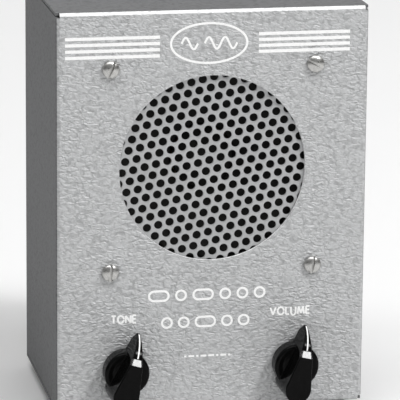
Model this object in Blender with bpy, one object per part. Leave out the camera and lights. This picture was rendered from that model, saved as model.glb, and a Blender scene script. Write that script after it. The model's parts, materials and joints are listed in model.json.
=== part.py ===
"""Morse code practice oscillator: a bent sheet-metal case with a loudspeaker and two controls.

Frame: +X to the right, +Y from the front panel into the case, +Z up.
The origin is at the centre of the whole object's base, under its rubber feet.
Sizes below are in millimetres. Depths are counted from the face of the front panel and heights
from the underside of the case.
"""

import math

import bmesh
import bpy
from mathutils import Matrix, Vector

MM = 0.001
GAP = 0.3

# Case
CASE_WIDTH = 127.0
CASE_HEIGHT = 165.1
CASE_DEPTH = 88.9
SHEET = 1.2
BEND_RADIUS = 1.8
INNER_BEND = 0.6
SEAM = 0.5
CORNER_NOTCH = 1.5
COVER_RIM = 3.0
FOOT_HEIGHT = 5.0
KNOB_HEIGHT = 18.0
TERMINAL_REACH = 7.0
FOOT_HOLE_RADIUS = 2.6
PANEL_Y = (KNOB_HEIGHT - CASE_DEPTH - TERMINAL_REACH) / 2
SHELL_END = CASE_DEPTH - COVER_RIM - GAP
COVER_FACE = CASE_DEPTH - SHEET
INNER_X = CASE_WIDTH / 2 - SHEET
INNER_TOP = CASE_HEIGHT - SHEET

# Loudspeaker opening and its fixing screws
SPEAKER_Z = 100.4
OPENING_RADIUS = 38.1
SPEAKER_PITCH = 83.3
SCREW_HOLE_RADIUS = 2.2
SCREW_HEAD_RADIUS = 3.6
SCREW_HEAD_HEIGHT = 2.4
SCREW_SHANK_RADIUS = 1.7
SCREW_SLOT = 1.0
NUT_CORNERS = 9.2
NUT_THICKNESS = 2.8
SCREW_SLOT_ANGLES = {"tl": 65.0, "tr": -27.0, "bl": 85.0, "br": 79.0}

# Perforated sheet: 1/8 inch holes on 3/16 inch staggered centres
GRILLE_DEPTH = SHEET + GAP
GRILLE_SHEET = 0.8
GRILLE_SIDE = 96.0
GRILLE_CORNER = 4.0
HOLE_RADIUS = 1.6
HOLE_PITCH = 4.7625
HOLE_ROW_TILT = 13.3
FIRST_HOLE = (2.19, -0.44)
HOLE_FIELD_RADIUS = 38.2

# Loudspeaker, as depths behind the panel
GASKET_DEPTH = GRILLE_DEPTH + GRILLE_SHEET + GAP
GASKET_THICKNESS = 2.0
GASKET_RADII = (44.4, 48.6)
BASKET_DEPTH = GASKET_DEPTH + GASKET_THICKNESS + GAP
BASKET_SIDE = 101.6
BASKET_FLANGE = 1.0
BASKET_LENGTH = 32.5
BASKET_MOUTH_RADIUS = 45.6
BASKET_REAR = BASKET_DEPTH + BASKET_LENGTH
CONE_RADIUS = 43.6
CONE_RIM_DEPTH = BASKET_DEPTH + 0.6
CONE_NECK_DEPTH = CONE_RIM_DEPTH + 20.0
COIL_RADII = (11.5, 12.1)
SPIDER_LEDGE = BASKET_DEPTH + 23.0
MAGNET_DEPTH = BASKET_REAR + GAP
MAGNET_LENGTH = 18.0
MAGNET_RADIUS = 22.0
MAGNET_POLE_RADIUS = 10.9
MAGNET_GAP_RADIUS = 13.0
MAGNET_HOLLOW_RADIUS = 19.0
MAGNET_PLATE = 4.0
LEAD_RADIUS = 0.7

# Controls
KNOB_X = {"tone": -35.8, "volume": 34.4}
KNOB_TILT = {"tone": 17.0, "volume": 13.0}
CONTROL_Z = 17.9
KNOB_BASE_RADIUS = 9.2
KNOB_BASE_TOP = 8.0
KNOB_CLEARANCE = 0.6
KNOB_TIP = 17.0
KNOB_TAIL = 13.0
KNOB_BAR_HALF_WIDTH = 6.2
KNOB_TIP_HALF_WIDTH = 0.7
KNOB_CROWN_SHARE = 0.86
KNOB_FLAT_END = 6.4
KNOB_FACET_END = 9.2
KNOB_FACET_TOP = 16.2
KNOB_NOSE_POWER = 1.5
KNOB_NOSE_STATIONS = [12.0, 14.4, 16.0]
KNOB_TAIL_STATIONS = [-12.4, -11.0, -9.0, -6.8]
KNOB_TIP_TOP = 5.4
KNOB_BAR_LOW = 1.5
KNOB_TIP_LOW = 4.4
KNOB_LIFT_START = 14.0
KNOB_RECESS_RADIUS = 8.0
KNOB_RECESS_TOP = 3.6
SHAFT_RADIUS = 3.175
SHAFT_BORE_RADIUS = 3.5
SHAFT_TIP = 12.6
SHAFT_INNER_END = 8.0
BUSHING_RADIUS = 4.75
BUSHING_TIP = 3.2
POT_NUT_CORNERS = 14.4
POT_NUT_THICKNESS = 2.4
POT_RADIUS = 12.0
POT_DEPTH = SHEET + GAP
POT_LENGTH = 11.0
SWITCH_RADIUS = 11.0
SWITCH_LENGTH = 9.0
SETSCREW_HEIGHT = 8.6
SETSCREW_RADIUS = 1.75
SETSCREW_HOLE_RADIUS = 2.1

# Chassis and what stands on it
SHELF_Z = 41.0
SHELF_FRONT = 44.0
SHELF_REAR = 82.0
SHELF_WIDTH = 120.0
SHELF_LIP = 9.0
CHASSIS_FOOT = 14.0
CHASSIS_SCREW_X = 44.0
CHASSIS_SCREW_DEPTH = SHELF_FRONT - 8.0
CHASSIS_HOLE_RADIUS = 2.0
LEAD_HOLE_RADIUS = 3.0
VALVE_X = {"rectifier": -17.0, "output": 5.0}
VALVE_DEPTH = 70.0
VALVE_HEIGHTS = {"rectifier": 46.0, "output": 54.0}
VALVE_RADIUS = 9.2
VALVE_BASE = 2.0
VALVE_PINS = 7
PIN_CIRCLE_RADIUS = 4.8
PIN_RADIUS = 0.5
PIN_LENGTH = 6.4
SOCKET_HOLE_RADIUS = 8.2
CAPACITOR_X = -40.0
CAPACITOR_DEPTH = 67.0
CAPACITOR_RADIUS = 12.5
CAPACITOR_HEIGHT = 47.0
TRANSFORMER_X = 38.0
TRANSFORMER_DEPTH = 66.0
CORE_HALF_WIDTH = 17.0
CORE_HEIGHT = 29.0
CORE_HALF_STACK = 7.0
WIRE_LENGTH = 7.0

# Back
COVER_SCREW_X = 50.0
COVER_SCREW_INSET = 7.0
COVER_HOLE_RADIUS = 2.1
TAB_WIDTH = 14.0
TAB_OVERLAP = 12.0
TAB_JOGGLE = 4.0
TAB_LIP = 4.5
TAB_HOLE_RADIUS = 1.7
TERMINAL_Z = 24.0
TERMINAL_X = (-44.0, -30.0)
TERMINAL_HOLE_RADIUS = 3.2
BOARD_WIDTH = 34.0
BOARD_HEIGHT = 15.0
BOARD_THICKNESS = 2.4
BOARD_HOLE_RADIUS = 2.1
GROMMET_X = 42.0
GROMMET_Z = 22.0
GROMMET_HOLE_RADIUS = 5.2
VENT_SLOTS = 7
VENT_PITCH = 11.0
VENT_WIDTH = 3.4
VENT_HEIGHT = 26.0
VENT_BANKS = (SPEAKER_Z + 22.0, 56.0)
FOOT_X = 50.0
FOOT_DEPTHS = (14.0, 66.0)
FOOT_RADIUS = 6.5
FOOT_STEM_RADIUS = 2.2

FACING_FRONT = (math.radians(90), 0.0, 0.0)
FACING_BACK = (math.radians(-90), 0.0, 0.0)
UPRIGHT = (0.0, 0.0, 0.0)
DOWNWARD = (math.radians(180), 0.0, 0.0)
ALONG_X = (0.0, math.radians(90), 0.0)


# ---------------------------------------------------------------- helpers


def place(x, depth, height):
    """Point in the world, in metres, from a place in the case."""
    return Vector((x, PANEL_Y + depth, FOOT_HEIGHT + height)) * MM


def material(name, color, roughness, metallic=0.0):
    """Plain Principled material."""
    made = bpy.data.materials.new(name)
    made.use_nodes = True
    shader = made.node_tree.nodes["Principled BSDF"]
    shader.inputs["Base Color"].default_value = (*color, 1.0)
    shader.inputs["Roughness"].default_value = roughness
    shader.inputs["Metallic"].default_value = metallic
    made.diffuse_color = (*color, 1.0)
    return made


def to_object(name, bm, location, rotation, finish, smooth=True):
    """Turn a bmesh drawn in millimetres into a named object in metres."""
    bmesh.ops.remove_doubles(bm, verts=bm.verts, dist=0.0005)
    bmesh.ops.recalc_face_normals(bm, faces=bm.faces)
    bmesh.ops.scale(bm, vec=(MM, MM, MM), verts=bm.verts)
    mesh = bpy.data.meshes.new(name)
    bm.to_mesh(mesh)
    bm.free()
    if smooth:
        mesh.shade_smooth()
        mesh.set_sharp_from_angle(angle=math.radians(35))
    if finish is not None:
        mesh.materials.append(finish)
    made = bpy.data.objects.new(name, mesh)
    made.location = location
    made.rotation_euler = rotation
    bpy.context.collection.objects.link(made)
    return made


def add_box(bm, low, high):
    """Box between two corners."""
    low = Vector(low)
    high = Vector(high)
    grow = Matrix.Diagonal((*(high - low), 1.0))
    bmesh.ops.create_cube(bm, size=1.0, matrix=Matrix.Translation((low + high) / 2) @ grow)


def draw_out(bm, points, step):
    """Closed flat outline of points, drawn out by a step."""
    face = bm.faces.new([bm.verts.new(point) for point in points])
    drawn = bmesh.ops.extrude_face_region(bm, geom=[face])
    moved = [item for item in drawn["geom"] if isinstance(item, bmesh.types.BMVert)]
    bmesh.ops.translate(bm, vec=step, verts=moved)


def boxes(name, corners, location, rotation, finish):
    """Object of one or more boxes, each given by two opposite corners."""
    bm = bmesh.new()
    for low, high in corners:
        add_box(bm, low, high)
    return to_object(name, bm, location, rotation, finish, smooth=False)


def extruded(name, outline, low, high, location, rotation, finish):
    """Flat outline in local X and Y, drawn out along local Z."""
    bm = bmesh.new()
    draw_out(bm, [(x, y, low) for x, y in outline], (0.0, 0.0, high - low))
    return to_object(name, bm, location, rotation, finish)


def turned(name, profile, sides, location, rotation, finish, ring=False):
    """Turn a profile of (radius, height) points about local Z; a ring's profile closes on itself."""
    bm = bmesh.new()
    points = [bm.verts.new((radius, 0.0, height)) for radius, height in profile]
    edges = [bm.edges.new(pair) for pair in zip(points, points[1:])]
    if ring:
        edges.append(bm.edges.new((points[-1], points[0])))
    bmesh.ops.spin(bm, geom=points + edges, axis=(0, 0, 1), cent=(0, 0, 0), dvec=(0, 0, 0),
                   angle=math.tau, steps=sides, use_merge=True, use_duplicate=False)
    return to_object(name, bm, location, rotation, finish)


def circle(radius, sides, center=(0.0, 0.0)):
    """Points of a regular polygon whose corners lie on a circle."""
    turns = [math.tau * step / sides for step in range(sides)]
    return [(center[0] + radius * math.cos(turn), center[1] + radius * math.sin(turn)) for turn in turns]


def rounded_rectangle(width, height, radius, corner_steps=4):
    """Outline of a rectangle with round corners, centred on zero."""
    points = []
    for quarter, (sx, sy) in enumerate(((1, 1), (-1, 1), (-1, -1), (1, -1))):
        cx = sx * (width / 2 - radius)
        cy = sy * (height / 2 - radius)
        for step in range(corner_steps + 1):
            turn = math.radians(90) * (quarter + step / corner_steps)
            points.append((cx + radius * math.cos(turn), cy + radius * math.sin(turn)))
    return points


def combine(target, tool, operation):
    """Boolean modifier that keeps the tool as a hidden wire guide."""
    modifier = target.modifiers.new(tool.name, "BOOLEAN")
    modifier.operation = operation
    modifier.solver = "EXACT"
    modifier.object = tool
    tool.hide_render = True
    tool.display_type = "WIRE"


def cut(target, tool):
    """Take the tool away from the target."""
    combine(target, tool, "DIFFERENCE")


def weld(target, tool):
    """Join the tool to the target."""
    combine(target, tool, "UNION")


def drill(target, name, radius, sides, centers, low, high, location, rotation):
    """Cut a row of round holes, drilled along local Z."""
    bm = bmesh.new()
    for center in centers:
        draw_out(bm, [(x, y, low) for x, y in circle(radius, sides, center)], (0.0, 0.0, high - low))
    cut(target, to_object(name, bm, location, rotation, None))


def speaker_corners():
    """The four fixing screws of the loudspeaker, seen from the front."""
    half = SPEAKER_PITCH / 2
    return {"tl": (-half, half), "tr": (half, half), "bl": (-half, -half), "br": (half, -half)}


# ---------------------------------------------------------------- case


def cabinet_shell():
    """Front panel with four flanges bent back, open corner seams and four joggled cover tabs."""
    bm = bmesh.new()
    add_box(bm, (-CASE_WIDTH / 2, 0, 0), (CASE_WIDTH / 2, SHELL_END, CASE_HEIGHT))
    front = [edge for edge in bm.edges if all(vert.co.y < GAP for vert in edge.verts)]
    bmesh.ops.bevel(bm, geom=front, offset=BEND_RADIUS, segments=4, affect="EDGES", profile=0.5)
    shell = to_object("cabinet_shell", bm, place(0, 0, 0), UPRIGHT, HAMMERTONE)

    bm = bmesh.new()
    add_box(bm, (-INNER_X, SHEET, SHEET), (INNER_X, CASE_DEPTH, INNER_TOP))
    inside = [edge for edge in bm.edges if all(vert.co.y < SHEET + GAP for vert in edge.verts)]
    bmesh.ops.bevel(bm, geom=inside, offset=INNER_BEND, segments=2, affect="EDGES", profile=0.5)
    cut(shell, to_object("cut_shell_inside", bm, place(0, 0, 0), UPRIGHT, None))

    cut(shell, corner_seams())
    weld(shell, cover_tabs())
    face = {"low": -2 * SHEET, "high": SHEET, "location": place(0, 0, 0), "rotation": FACING_FRONT}
    drill(shell, "cut_speaker_opening", OPENING_RADIUS, 48, [(0.0, SPEAKER_Z)], **face)
    screws = [(x, SPEAKER_Z + z) for x, z in speaker_corners().values()]
    drill(shell, "cut_speaker_screws", SCREW_HOLE_RADIUS, 12, screws, **face)
    shafts = [(x, CONTROL_Z) for x in KNOB_X.values()]
    drill(shell, "cut_control_holes", BUSHING_RADIUS + GAP, 20, shafts, **face)
    floor = {"low": -SHEET, "high": 2 * SHEET, "location": place(0, 0, 0), "rotation": UPRIGHT}
    feet = [(side * FOOT_X, depth) for side in (-1, 1) for depth in FOOT_DEPTHS]
    drill(shell, "cut_foot_holes", FOOT_HOLE_RADIUS, 12, feet, **floor)
    bolts = [(side * CHASSIS_SCREW_X, CHASSIS_SCREW_DEPTH) for side in (-1, 1)]
    drill(shell, "cut_chassis_screws", CHASSIS_HOLE_RADIUS, 12, bolts, **floor)
    return shell


def corner_seams():
    """Slits that part the side flanges from the top and bottom ones, and the corner relief notches."""
    corners = []
    for side in (-1, 1):
        for level, lift in ((0.0, 1), (CASE_HEIGHT, -1)):
            edge = side * CASE_WIDTH / 2
            x_pair = sorted((edge + side, edge - side * (SHEET + GAP)))
            z_pair = sorted((level + lift * SHEET, level + lift * (SHEET + SEAM)))
            corners.append(((x_pair[0], BEND_RADIUS, z_pair[0]), (x_pair[1], CASE_DEPTH, z_pair[1])))
    seams = boxes("cut_corner_seams", corners, place(0, 0, 0), UPRIGHT, None)
    notches = []
    for side in (-1, 1):
        for level, lift in ((0.0, 1), (CASE_HEIGHT, -1)):
            edge = side * CASE_WIDTH / 2
            x_pair = sorted((edge + side, edge - side * CORNER_NOTCH))
            z_pair = sorted((level - lift, level + lift * (CORNER_NOTCH + SEAM)))
            notches.append(((x_pair[0], -1.0, z_pair[0]), (x_pair[1], BEND_RADIUS + GAP, z_pair[1])))
    weld(seams, boxes("cut_corner_notches", notches, place(0, 0, 0), UPRIGHT, None))
    return seams


def cover_tabs():
    """Small joggled brackets inside the top and bottom flanges that take the cover screws."""
    near = SHELL_END - TAB_OVERLAP
    joggle = SHELL_END - TAB_JOGGLE
    far = COVER_FACE - GAP
    web = SHEET + GAP
    lip = COVER_SCREW_INSET + TAB_LIP
    outline = [(near, SHEET / 2), (joggle, SHEET / 2), (joggle, web), (far, web), (far, lip),
               (far - SHEET, lip), (far - SHEET, web + SHEET), (near, web + SHEET)]
    bm = bmesh.new()
    for side in (-1, 1):
        start = side * COVER_SCREW_X - TAB_WIDTH / 2
        for level, lift in ((0.0, 1), (CASE_HEIGHT, -1)):
            corners = [(start, depth, level + lift * rise) for depth, rise in outline]
            draw_out(bm, corners, (TAB_WIDTH, 0.0, 0.0))
    tabs = to_object("join_cover_tabs", bm, place(0, 0, 0), UPRIGHT, None)
    holes = cover_screw_places().values()
    drill(tabs, "cut_tab_holes", TAB_HOLE_RADIUS, 10, holes, -CASE_DEPTH, -SHELL_END, place(0, 0, 0),
          FACING_FRONT)
    return tabs


def cover_screw_places():
    """Cover screws by corner, named as seen from the front: x and height."""
    high = CASE_HEIGHT - COVER_SCREW_INSET
    low = COVER_SCREW_INSET
    reach = COVER_SCREW_X
    return {"tl": (-reach, high), "tr": (reach, high), "bl": (-reach, low), "br": (reach, low)}


def back_cover():
    """Shallow tray that closes the back, with two banks of vent slots."""
    rim = CASE_DEPTH - COVER_RIM
    bm = bmesh.new()
    add_box(bm, (-CASE_WIDTH / 2, rim, 0), (CASE_WIDTH / 2, CASE_DEPTH, CASE_HEIGHT))
    rear = [edge for edge in bm.edges if all(vert.co.y > CASE_DEPTH - GAP for vert in edge.verts)]
    bmesh.ops.bevel(bm, geom=rear, offset=BEND_RADIUS, segments=3, affect="EDGES", profile=0.5)
    cover = to_object("back_cover", bm, place(0, 0, 0), UPRIGHT, CASE_PAINT)
    hollow = ((-INNER_X, rim - 1.0, SHEET), (INNER_X, COVER_FACE, INNER_TOP))
    cut(cover, boxes("cut_cover_inside", [hollow], place(0, 0, 0), UPRIGHT, None))
    cut(cover, vent_slots())
    rear_face = {"low": -CASE_DEPTH - 1.0, "high": -COVER_FACE + 1.0, "location": place(0, 0, 0),
                 "rotation": FACING_FRONT}
    drill(cover, "cut_cover_screws", COVER_HOLE_RADIUS, 12, cover_screw_places().values(), **rear_face)
    drill(cover, "cut_grommet_hole", GROMMET_HOLE_RADIUS, 20, [(GROMMET_X, GROMMET_Z)], **rear_face)
    terminals = [(x, TERMINAL_Z) for x in TERMINAL_X]
    drill(cover, "cut_terminal_holes", TERMINAL_HOLE_RADIUS, 12, terminals, **rear_face)
    return cover


def vent_slots():
    """Round-ended slots, one bank high behind the valves and one low."""
    slot = rounded_rectangle(VENT_WIDTH, VENT_HEIGHT, VENT_WIDTH / 2 - 0.01, corner_steps=2)
    bm = bmesh.new()
    for height in VENT_BANKS:
        for step in range(VENT_SLOTS):
            x = (step - (VENT_SLOTS - 1) / 2) * VENT_PITCH
            ring = [(x + across, COVER_FACE - 1.0, height + rise) for across, rise in slot]
            draw_out(bm, ring, (0.0, 3 * SHEET, 0.0))
    return to_object("cut_vent_slots", bm, place(0, 0, 0), UPRIGHT, None)


def slotted_screw(name, location, rotation, head, head_height, shank, length, turn, finish):
    """Round-head screw along local Z: head up, shank down, with a driver slot."""
    profile = [(0.0, head_height)]
    for step in (1, 2, 3):
        angle = math.radians(90) * step / 3
        profile.append((head * math.sin(angle), head_height * (0.35 + 0.65 * math.cos(angle))))
    profile += [(head, GAP), (shank, GAP), (shank, -length), (0.0, -length)]
    screw = turned(name, profile, 12, location, rotation, finish)
    reach = head + 1.0
    slot = ((-reach, -SCREW_SLOT / 2, head_height * 0.45), (reach, SCREW_SLOT / 2, head_height + 1.0))
    tool = boxes("cut_slot_" + name, [slot], (0, 0, 0), UPRIGHT, None)
    tool.parent = screw
    tool.rotation_euler = (0.0, 0.0, math.radians(turn))
    cut(screw, tool)
    return screw


def hex_nut(name, location, rotation, across_corners, bore, thickness, finish):
    """Plain hexagon nut whose underside is at local zero."""
    nut = extruded(name, circle(across_corners / 2, 6), 0.0, thickness, location, rotation, finish)
    drill(nut, "cut_bore_" + name, bore, 12, [(0.0, 0.0)], -1.0, thickness + 1.0, location, rotation)
    return nut


def case_fasteners():
    """Cover screws and the rubber feet, each pushed into a hole in the case floor."""
    for corner, (x, height) in cover_screw_places().items():
        turn = 45.0 if x > 0 else 15.0
        slotted_screw("cover_screw_" + corner, place(x, CASE_DEPTH, height), FACING_BACK,
                      3.4, 2.0, 1.4, 6.0, turn, NICKEL)
    profile = [(0.0, -FOOT_HEIGHT), (FOOT_RADIUS - 1.6, -FOOT_HEIGHT), (FOOT_RADIUS - 0.6, 0.8 - FOOT_HEIGHT),
               (FOOT_RADIUS, -GAP), (FOOT_STEM_RADIUS, -GAP), (FOOT_STEM_RADIUS, SHEET + GAP),
               (3.3, SHEET + GAP), (2.0, 4.6), (0.0, 4.6)]
    for side, x in (("left", -FOOT_X), ("right", FOOT_X)):
        for end, depth in zip(("front", "rear"), FOOT_DEPTHS):
            turned("foot_" + end + "_" + side, profile, 14, place(x, depth, 0), UPRIGHT, RUBBER)


# ---------------------------------------------------------------- loudspeaker


def lattice_points():
    """Centres of the staggered holes in the round field, measured from the opening's centre."""
    tilt = math.radians(HOLE_ROW_TILT)
    along = Vector((math.cos(tilt), math.sin(tilt))) * HOLE_PITCH
    across = Vector((math.cos(tilt + math.radians(60)), math.sin(tilt + math.radians(60)))) * HOLE_PITCH
    reach = int(2 * HOLE_FIELD_RADIUS / HOLE_PITCH)
    points = []
    for row in range(-reach, reach + 1):
        for column in range(-reach, reach + 1):
            spot = Vector(FIRST_HOLE) + row * across + column * along
            if spot.length < HOLE_FIELD_RADIUS:
                points.append((spot.x, spot.y))
    return points


def speaker_grille():
    """Perforated steel sheet clamped between the panel and the loudspeaker."""
    corner = place(0, GRILLE_DEPTH, SPEAKER_Z)
    outline = rounded_rectangle(GRILLE_SIDE, GRILLE_SIDE, GRILLE_CORNER, corner_steps=2)
    grille = extruded("speaker_grille", outline, -GRILLE_SHEET, 0.0, corner, FACING_FRONT, STEEL)
    drill(grille, "cut_perforations", HOLE_RADIUS, 6, lattice_points(), -2.0, 1.0, corner, FACING_FRONT)
    drill(grille, "cut_grille_screws", SCREW_HOLE_RADIUS, 10, speaker_corners().values(), -2.0, 1.0,
          corner, FACING_FRONT)


def speaker_basket():
    """Stamped frame: square flange, tapered wall with four windows, spider ledge and back plate."""
    center = place(0, BASKET_DEPTH, SPEAKER_Z)
    outline = rounded_rectangle(BASKET_SIDE, BASKET_SIDE, 12.0, corner_steps=3)
    basket = extruded("speaker_basket", outline, 0.0, BASKET_FLANGE, center, FACING_BACK, STEEL_DARK)
    drill(basket, "cut_basket_mouth", BASKET_MOUTH_RADIUS, 32, [(0.0, 0.0)], -1.0, 2.0, center, FACING_BACK)
    wall = [(45.0, 0.0), (46.4, 0.0), (46.4, 1.2), (29.0, 24.0), (24.6, 24.6), (23.2, BASKET_LENGTH),
            (13.6, BASKET_LENGTH), (13.6, 31.5), (22.2, 31.5), (23.6, 23.6), (28.2, 23.0), (45.0, 0.9)]
    weld(basket, turned("join_basket_wall", wall, 32, center, FACING_BACK, None, ring=True))
    window = [(-9.0, 30.5), (9.0, 30.5), (21.0, 42.0), (-21.0, 42.0)]
    for step in range(4):
        turn = Matrix.Rotation(math.radians(90 * step), 2)
        outline = [tuple(turn @ Vector(corner)) for corner in window]
        cut(basket, extruded("cut_window_%d" % step, outline, 2.0, 30.0, center, FACING_BACK, None))
    drill(basket, "cut_basket_screws", SCREW_HOLE_RADIUS, 12, speaker_corners().values(), -1.0, 2.0,
          center, FACING_BACK)


def speaker_diaphragm():
    """Gasket, paper cone, dust cap, voice coil and spider, turned about the loudspeaker's axis."""
    axis = place(0, 0, SPEAKER_Z)
    inner, outer = GASKET_RADII
    back = GASKET_DEPTH + GASKET_THICKNESS
    gasket = [(inner, GASKET_DEPTH), (outer, GASKET_DEPTH), (outer, back), (inner, back)]
    turned("speaker_gasket", gasket, 28, axis, FACING_BACK, FELT, ring=True)

    rim = CONE_RIM_DEPTH
    neck = CONE_NECK_DEPTH
    cone = [(CONE_RADIUS, rim), (CONE_RADIUS, rim + 0.7), (40.6, rim + 0.9), (26.0, neck - 9.0),
            (13.3, neck), (13.3, neck + 0.2), (12.5, neck + 0.2), (12.5, neck - 0.6),
            (25.4, neck - 9.8), (40.2, rim)]
    turned("speaker_cone", cone, 32, axis, FACING_BACK, PAPER, ring=True)

    brim = neck - 3.4
    cap = [(0.0, brim - 4.6), (7.4, brim - 3.4), (12.6, brim), (12.9, brim + 0.7), (7.0, brim - 2.6),
           (0.0, brim - 3.8)]
    turned("speaker_dust_cap", cap, 16, axis, FACING_BACK, PAPER)

    inner, outer = COIL_RADII
    front = neck - 0.6
    back = MAGNET_DEPTH + 5.0
    coil = [(inner, front), (outer, front), (outer, back), (inner, back)]
    turned("voice_coil", coil, 20, axis, FACING_BACK, COPPER, ring=True)

    ledge = SPIDER_LEDGE
    spider = [(12.45, ledge - 0.9), (17.0, ledge - 1.7), (22.0, ledge - 0.8), (27.6, ledge - 0.9),
              (27.6, ledge - 0.3), (22.0, ledge - 0.2), (17.0, ledge - 1.1), (12.45, ledge - 0.3)]
    turned("speaker_spider", spider, 20, axis, FACING_BACK, SPIDER_CLOTH, ring=True)


def speaker_magnet():
    """Pot magnet with its ring-shaped gap, and the lug board beside it."""
    axis = place(0, 0, SPEAKER_Z)
    front = MAGNET_DEPTH
    rear = MAGNET_DEPTH + MAGNET_LENGTH
    pot = [(0.0, front), (MAGNET_POLE_RADIUS, front), (MAGNET_POLE_RADIUS, rear - MAGNET_PLATE),
           (MAGNET_HOLLOW_RADIUS, rear - MAGNET_PLATE), (MAGNET_HOLLOW_RADIUS, front + MAGNET_PLATE),
           (MAGNET_GAP_RADIUS, front + MAGNET_PLATE), (MAGNET_GAP_RADIUS, front), (MAGNET_RADIUS, front),
           (MAGNET_RADIUS, rear - 1.0), (MAGNET_RADIUS - 1.0, rear), (0.0, rear)]
    turned("speaker_magnet", pot, 24, axis, FACING_BACK, MAGNET_PAINT)

    edge = MAGNET_RADIUS + GAP
    board = ((-9.0, edge, 0.0), (9.0, edge + 1.5, 9.0))
    lugs = [((side * 5.0 - 1.2, MAGNET_RADIUS + 1.0, 2.0), (side * 5.0 + 1.2, MAGNET_RADIUS + 6.0, 2.6))
            for side in (-1, 1)]
    origin = place(0, MAGNET_DEPTH + 3.0, SPEAKER_Z)
    lug_board = boxes("speaker_lug_board", [board], origin, FACING_BACK, PHENOLIC)
    weld(lug_board, boxes("join_speaker_lugs", lugs, origin, FACING_BACK, None))


def speaker_fasteners():
    """Slotted screws through the panel, with a nut behind the loudspeaker flange."""
    nut_depth = BASKET_DEPTH + BASKET_FLANGE + GAP
    for corner, (x, rise) in speaker_corners().items():
        slotted_screw("speaker_screw_" + corner, place(x, 0, SPEAKER_Z + rise), FACING_FRONT,
                      SCREW_HEAD_RADIUS, SCREW_HEAD_HEIGHT, SCREW_SHANK_RADIUS, nut_depth + 4.6,
                      SCREW_SLOT_ANGLES[corner], NICKEL)
        hex_nut("speaker_nut_" + corner, place(x, nut_depth, SPEAKER_Z + rise), FACING_BACK,
                NUT_CORNERS, SCREW_SHANK_RADIUS + GAP, NUT_THICKNESS, NICKEL)


# ---------------------------------------------------------------- controls


def potentiometer(name):
    """Round can with a threaded bushing through the panel and three solder lugs."""
    center = place(KNOB_X[name], 0, CONTROL_Z)
    rear = POT_DEPTH + POT_LENGTH
    profile = [(SHAFT_BORE_RADIUS, BUSHING_TIP), (BUSHING_RADIUS, BUSHING_TIP), (BUSHING_RADIUS, -POT_DEPTH),
               (POT_RADIUS, -POT_DEPTH), (POT_RADIUS, -rear), (0.0, -rear)]
    bore = [(0.0, -SHAFT_INNER_END - GAP), (SHAFT_BORE_RADIUS, -SHAFT_INNER_END - GAP)]
    body = turned(name + "_pot_body", bore + profile, 20, center, FACING_FRONT, POT_METAL)
    lugs = [((x - 1.0, POT_RADIUS - 1.5, -8.0), (x + 1.0, POT_RADIUS + 6.0, -7.2)) for x in (-6.0, 0.0, 6.0)]
    weld(body, boxes("join_lugs_" + name, lugs, center, FACING_FRONT, None))
    hex_nut(name + "_pot_nut", place(KNOB_X[name], -GAP, CONTROL_Z), FACING_FRONT,
            POT_NUT_CORNERS, BUSHING_RADIUS + GAP, POT_NUT_THICKNESS, NICKEL)
    shaft = [(0.0, -SHAFT_INNER_END), (SHAFT_RADIUS, -SHAFT_INNER_END), (SHAFT_RADIUS, SHAFT_TIP - 0.5),
             (SHAFT_RADIUS - 0.5, SHAFT_TIP), (0.0, SHAFT_TIP)]
    turned(name + "_pot_shaft", shaft, 16, center, FACING_FRONT, BRASS)


def power_switch():
    """Snap switch riding on the back of the volume control."""
    depth = POT_DEPTH + POT_LENGTH + GAP
    center = place(KNOB_X["volume"], depth, CONTROL_Z)
    can = [(0.0, 0.0), (SWITCH_RADIUS, 0.0), (SWITCH_RADIUS, SWITCH_LENGTH - 1.0),
           (SWITCH_RADIUS - 1.0, SWITCH_LENGTH), (0.0, SWITCH_LENGTH)]
    switch = turned("power_switch", can, 20, center, FACING_BACK, POT_METAL)
    lugs = [((x - 1.2, -1.5, 8.0), (x + 1.2, 1.5, 14.0)) for x in (-5.0, 5.0)]
    weld(switch, boxes("join_switch_lugs", lugs, center, FACING_BACK, None))


def knob_half_width(u):
    """Half width of the pointer bar at distance u towards the tip: round tail, straight taper."""
    widest = KNOB_BAR_HALF_WIDTH
    shoulder = widest - KNOB_TAIL
    if u < shoulder:
        return max(0.9, math.sqrt(max(0.0, widest ** 2 - (u - shoulder) ** 2)))
    return widest + (KNOB_TIP_HALF_WIDTH - widest) * (u - shoulder) / (KNOB_TIP - shoulder)


def knob_ridge(u):
    """Height of the bar above the panel: flat, a short sloping facet, then a round nose."""
    if u <= KNOB_FLAT_END:
        return KNOB_HEIGHT
    if u <= KNOB_FACET_END:
        share = (u - KNOB_FLAT_END) / (KNOB_FACET_END - KNOB_FLAT_END)
        return KNOB_HEIGHT + (KNOB_FACET_TOP - KNOB_HEIGHT) * share
    along = min(1.0, (u - KNOB_FACET_END) / (KNOB_TIP - KNOB_FACET_END))
    share = (1.0 - along ** KNOB_NOSE_POWER) ** (1.0 / KNOB_NOSE_POWER)
    return KNOB_TIP_TOP + (KNOB_FACET_TOP - KNOB_TIP_TOP) * share


def knob_underside(u):
    """Height of the underside of the bar: close to the panel, rising under the tip."""
    if u <= KNOB_LIFT_START:
        return KNOB_BAR_LOW
    return KNOB_BAR_LOW + (KNOB_TIP_LOW - KNOB_BAR_LOW) * (u - KNOB_LIFT_START) / (KNOB_TIP - KNOB_LIFT_START)


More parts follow.
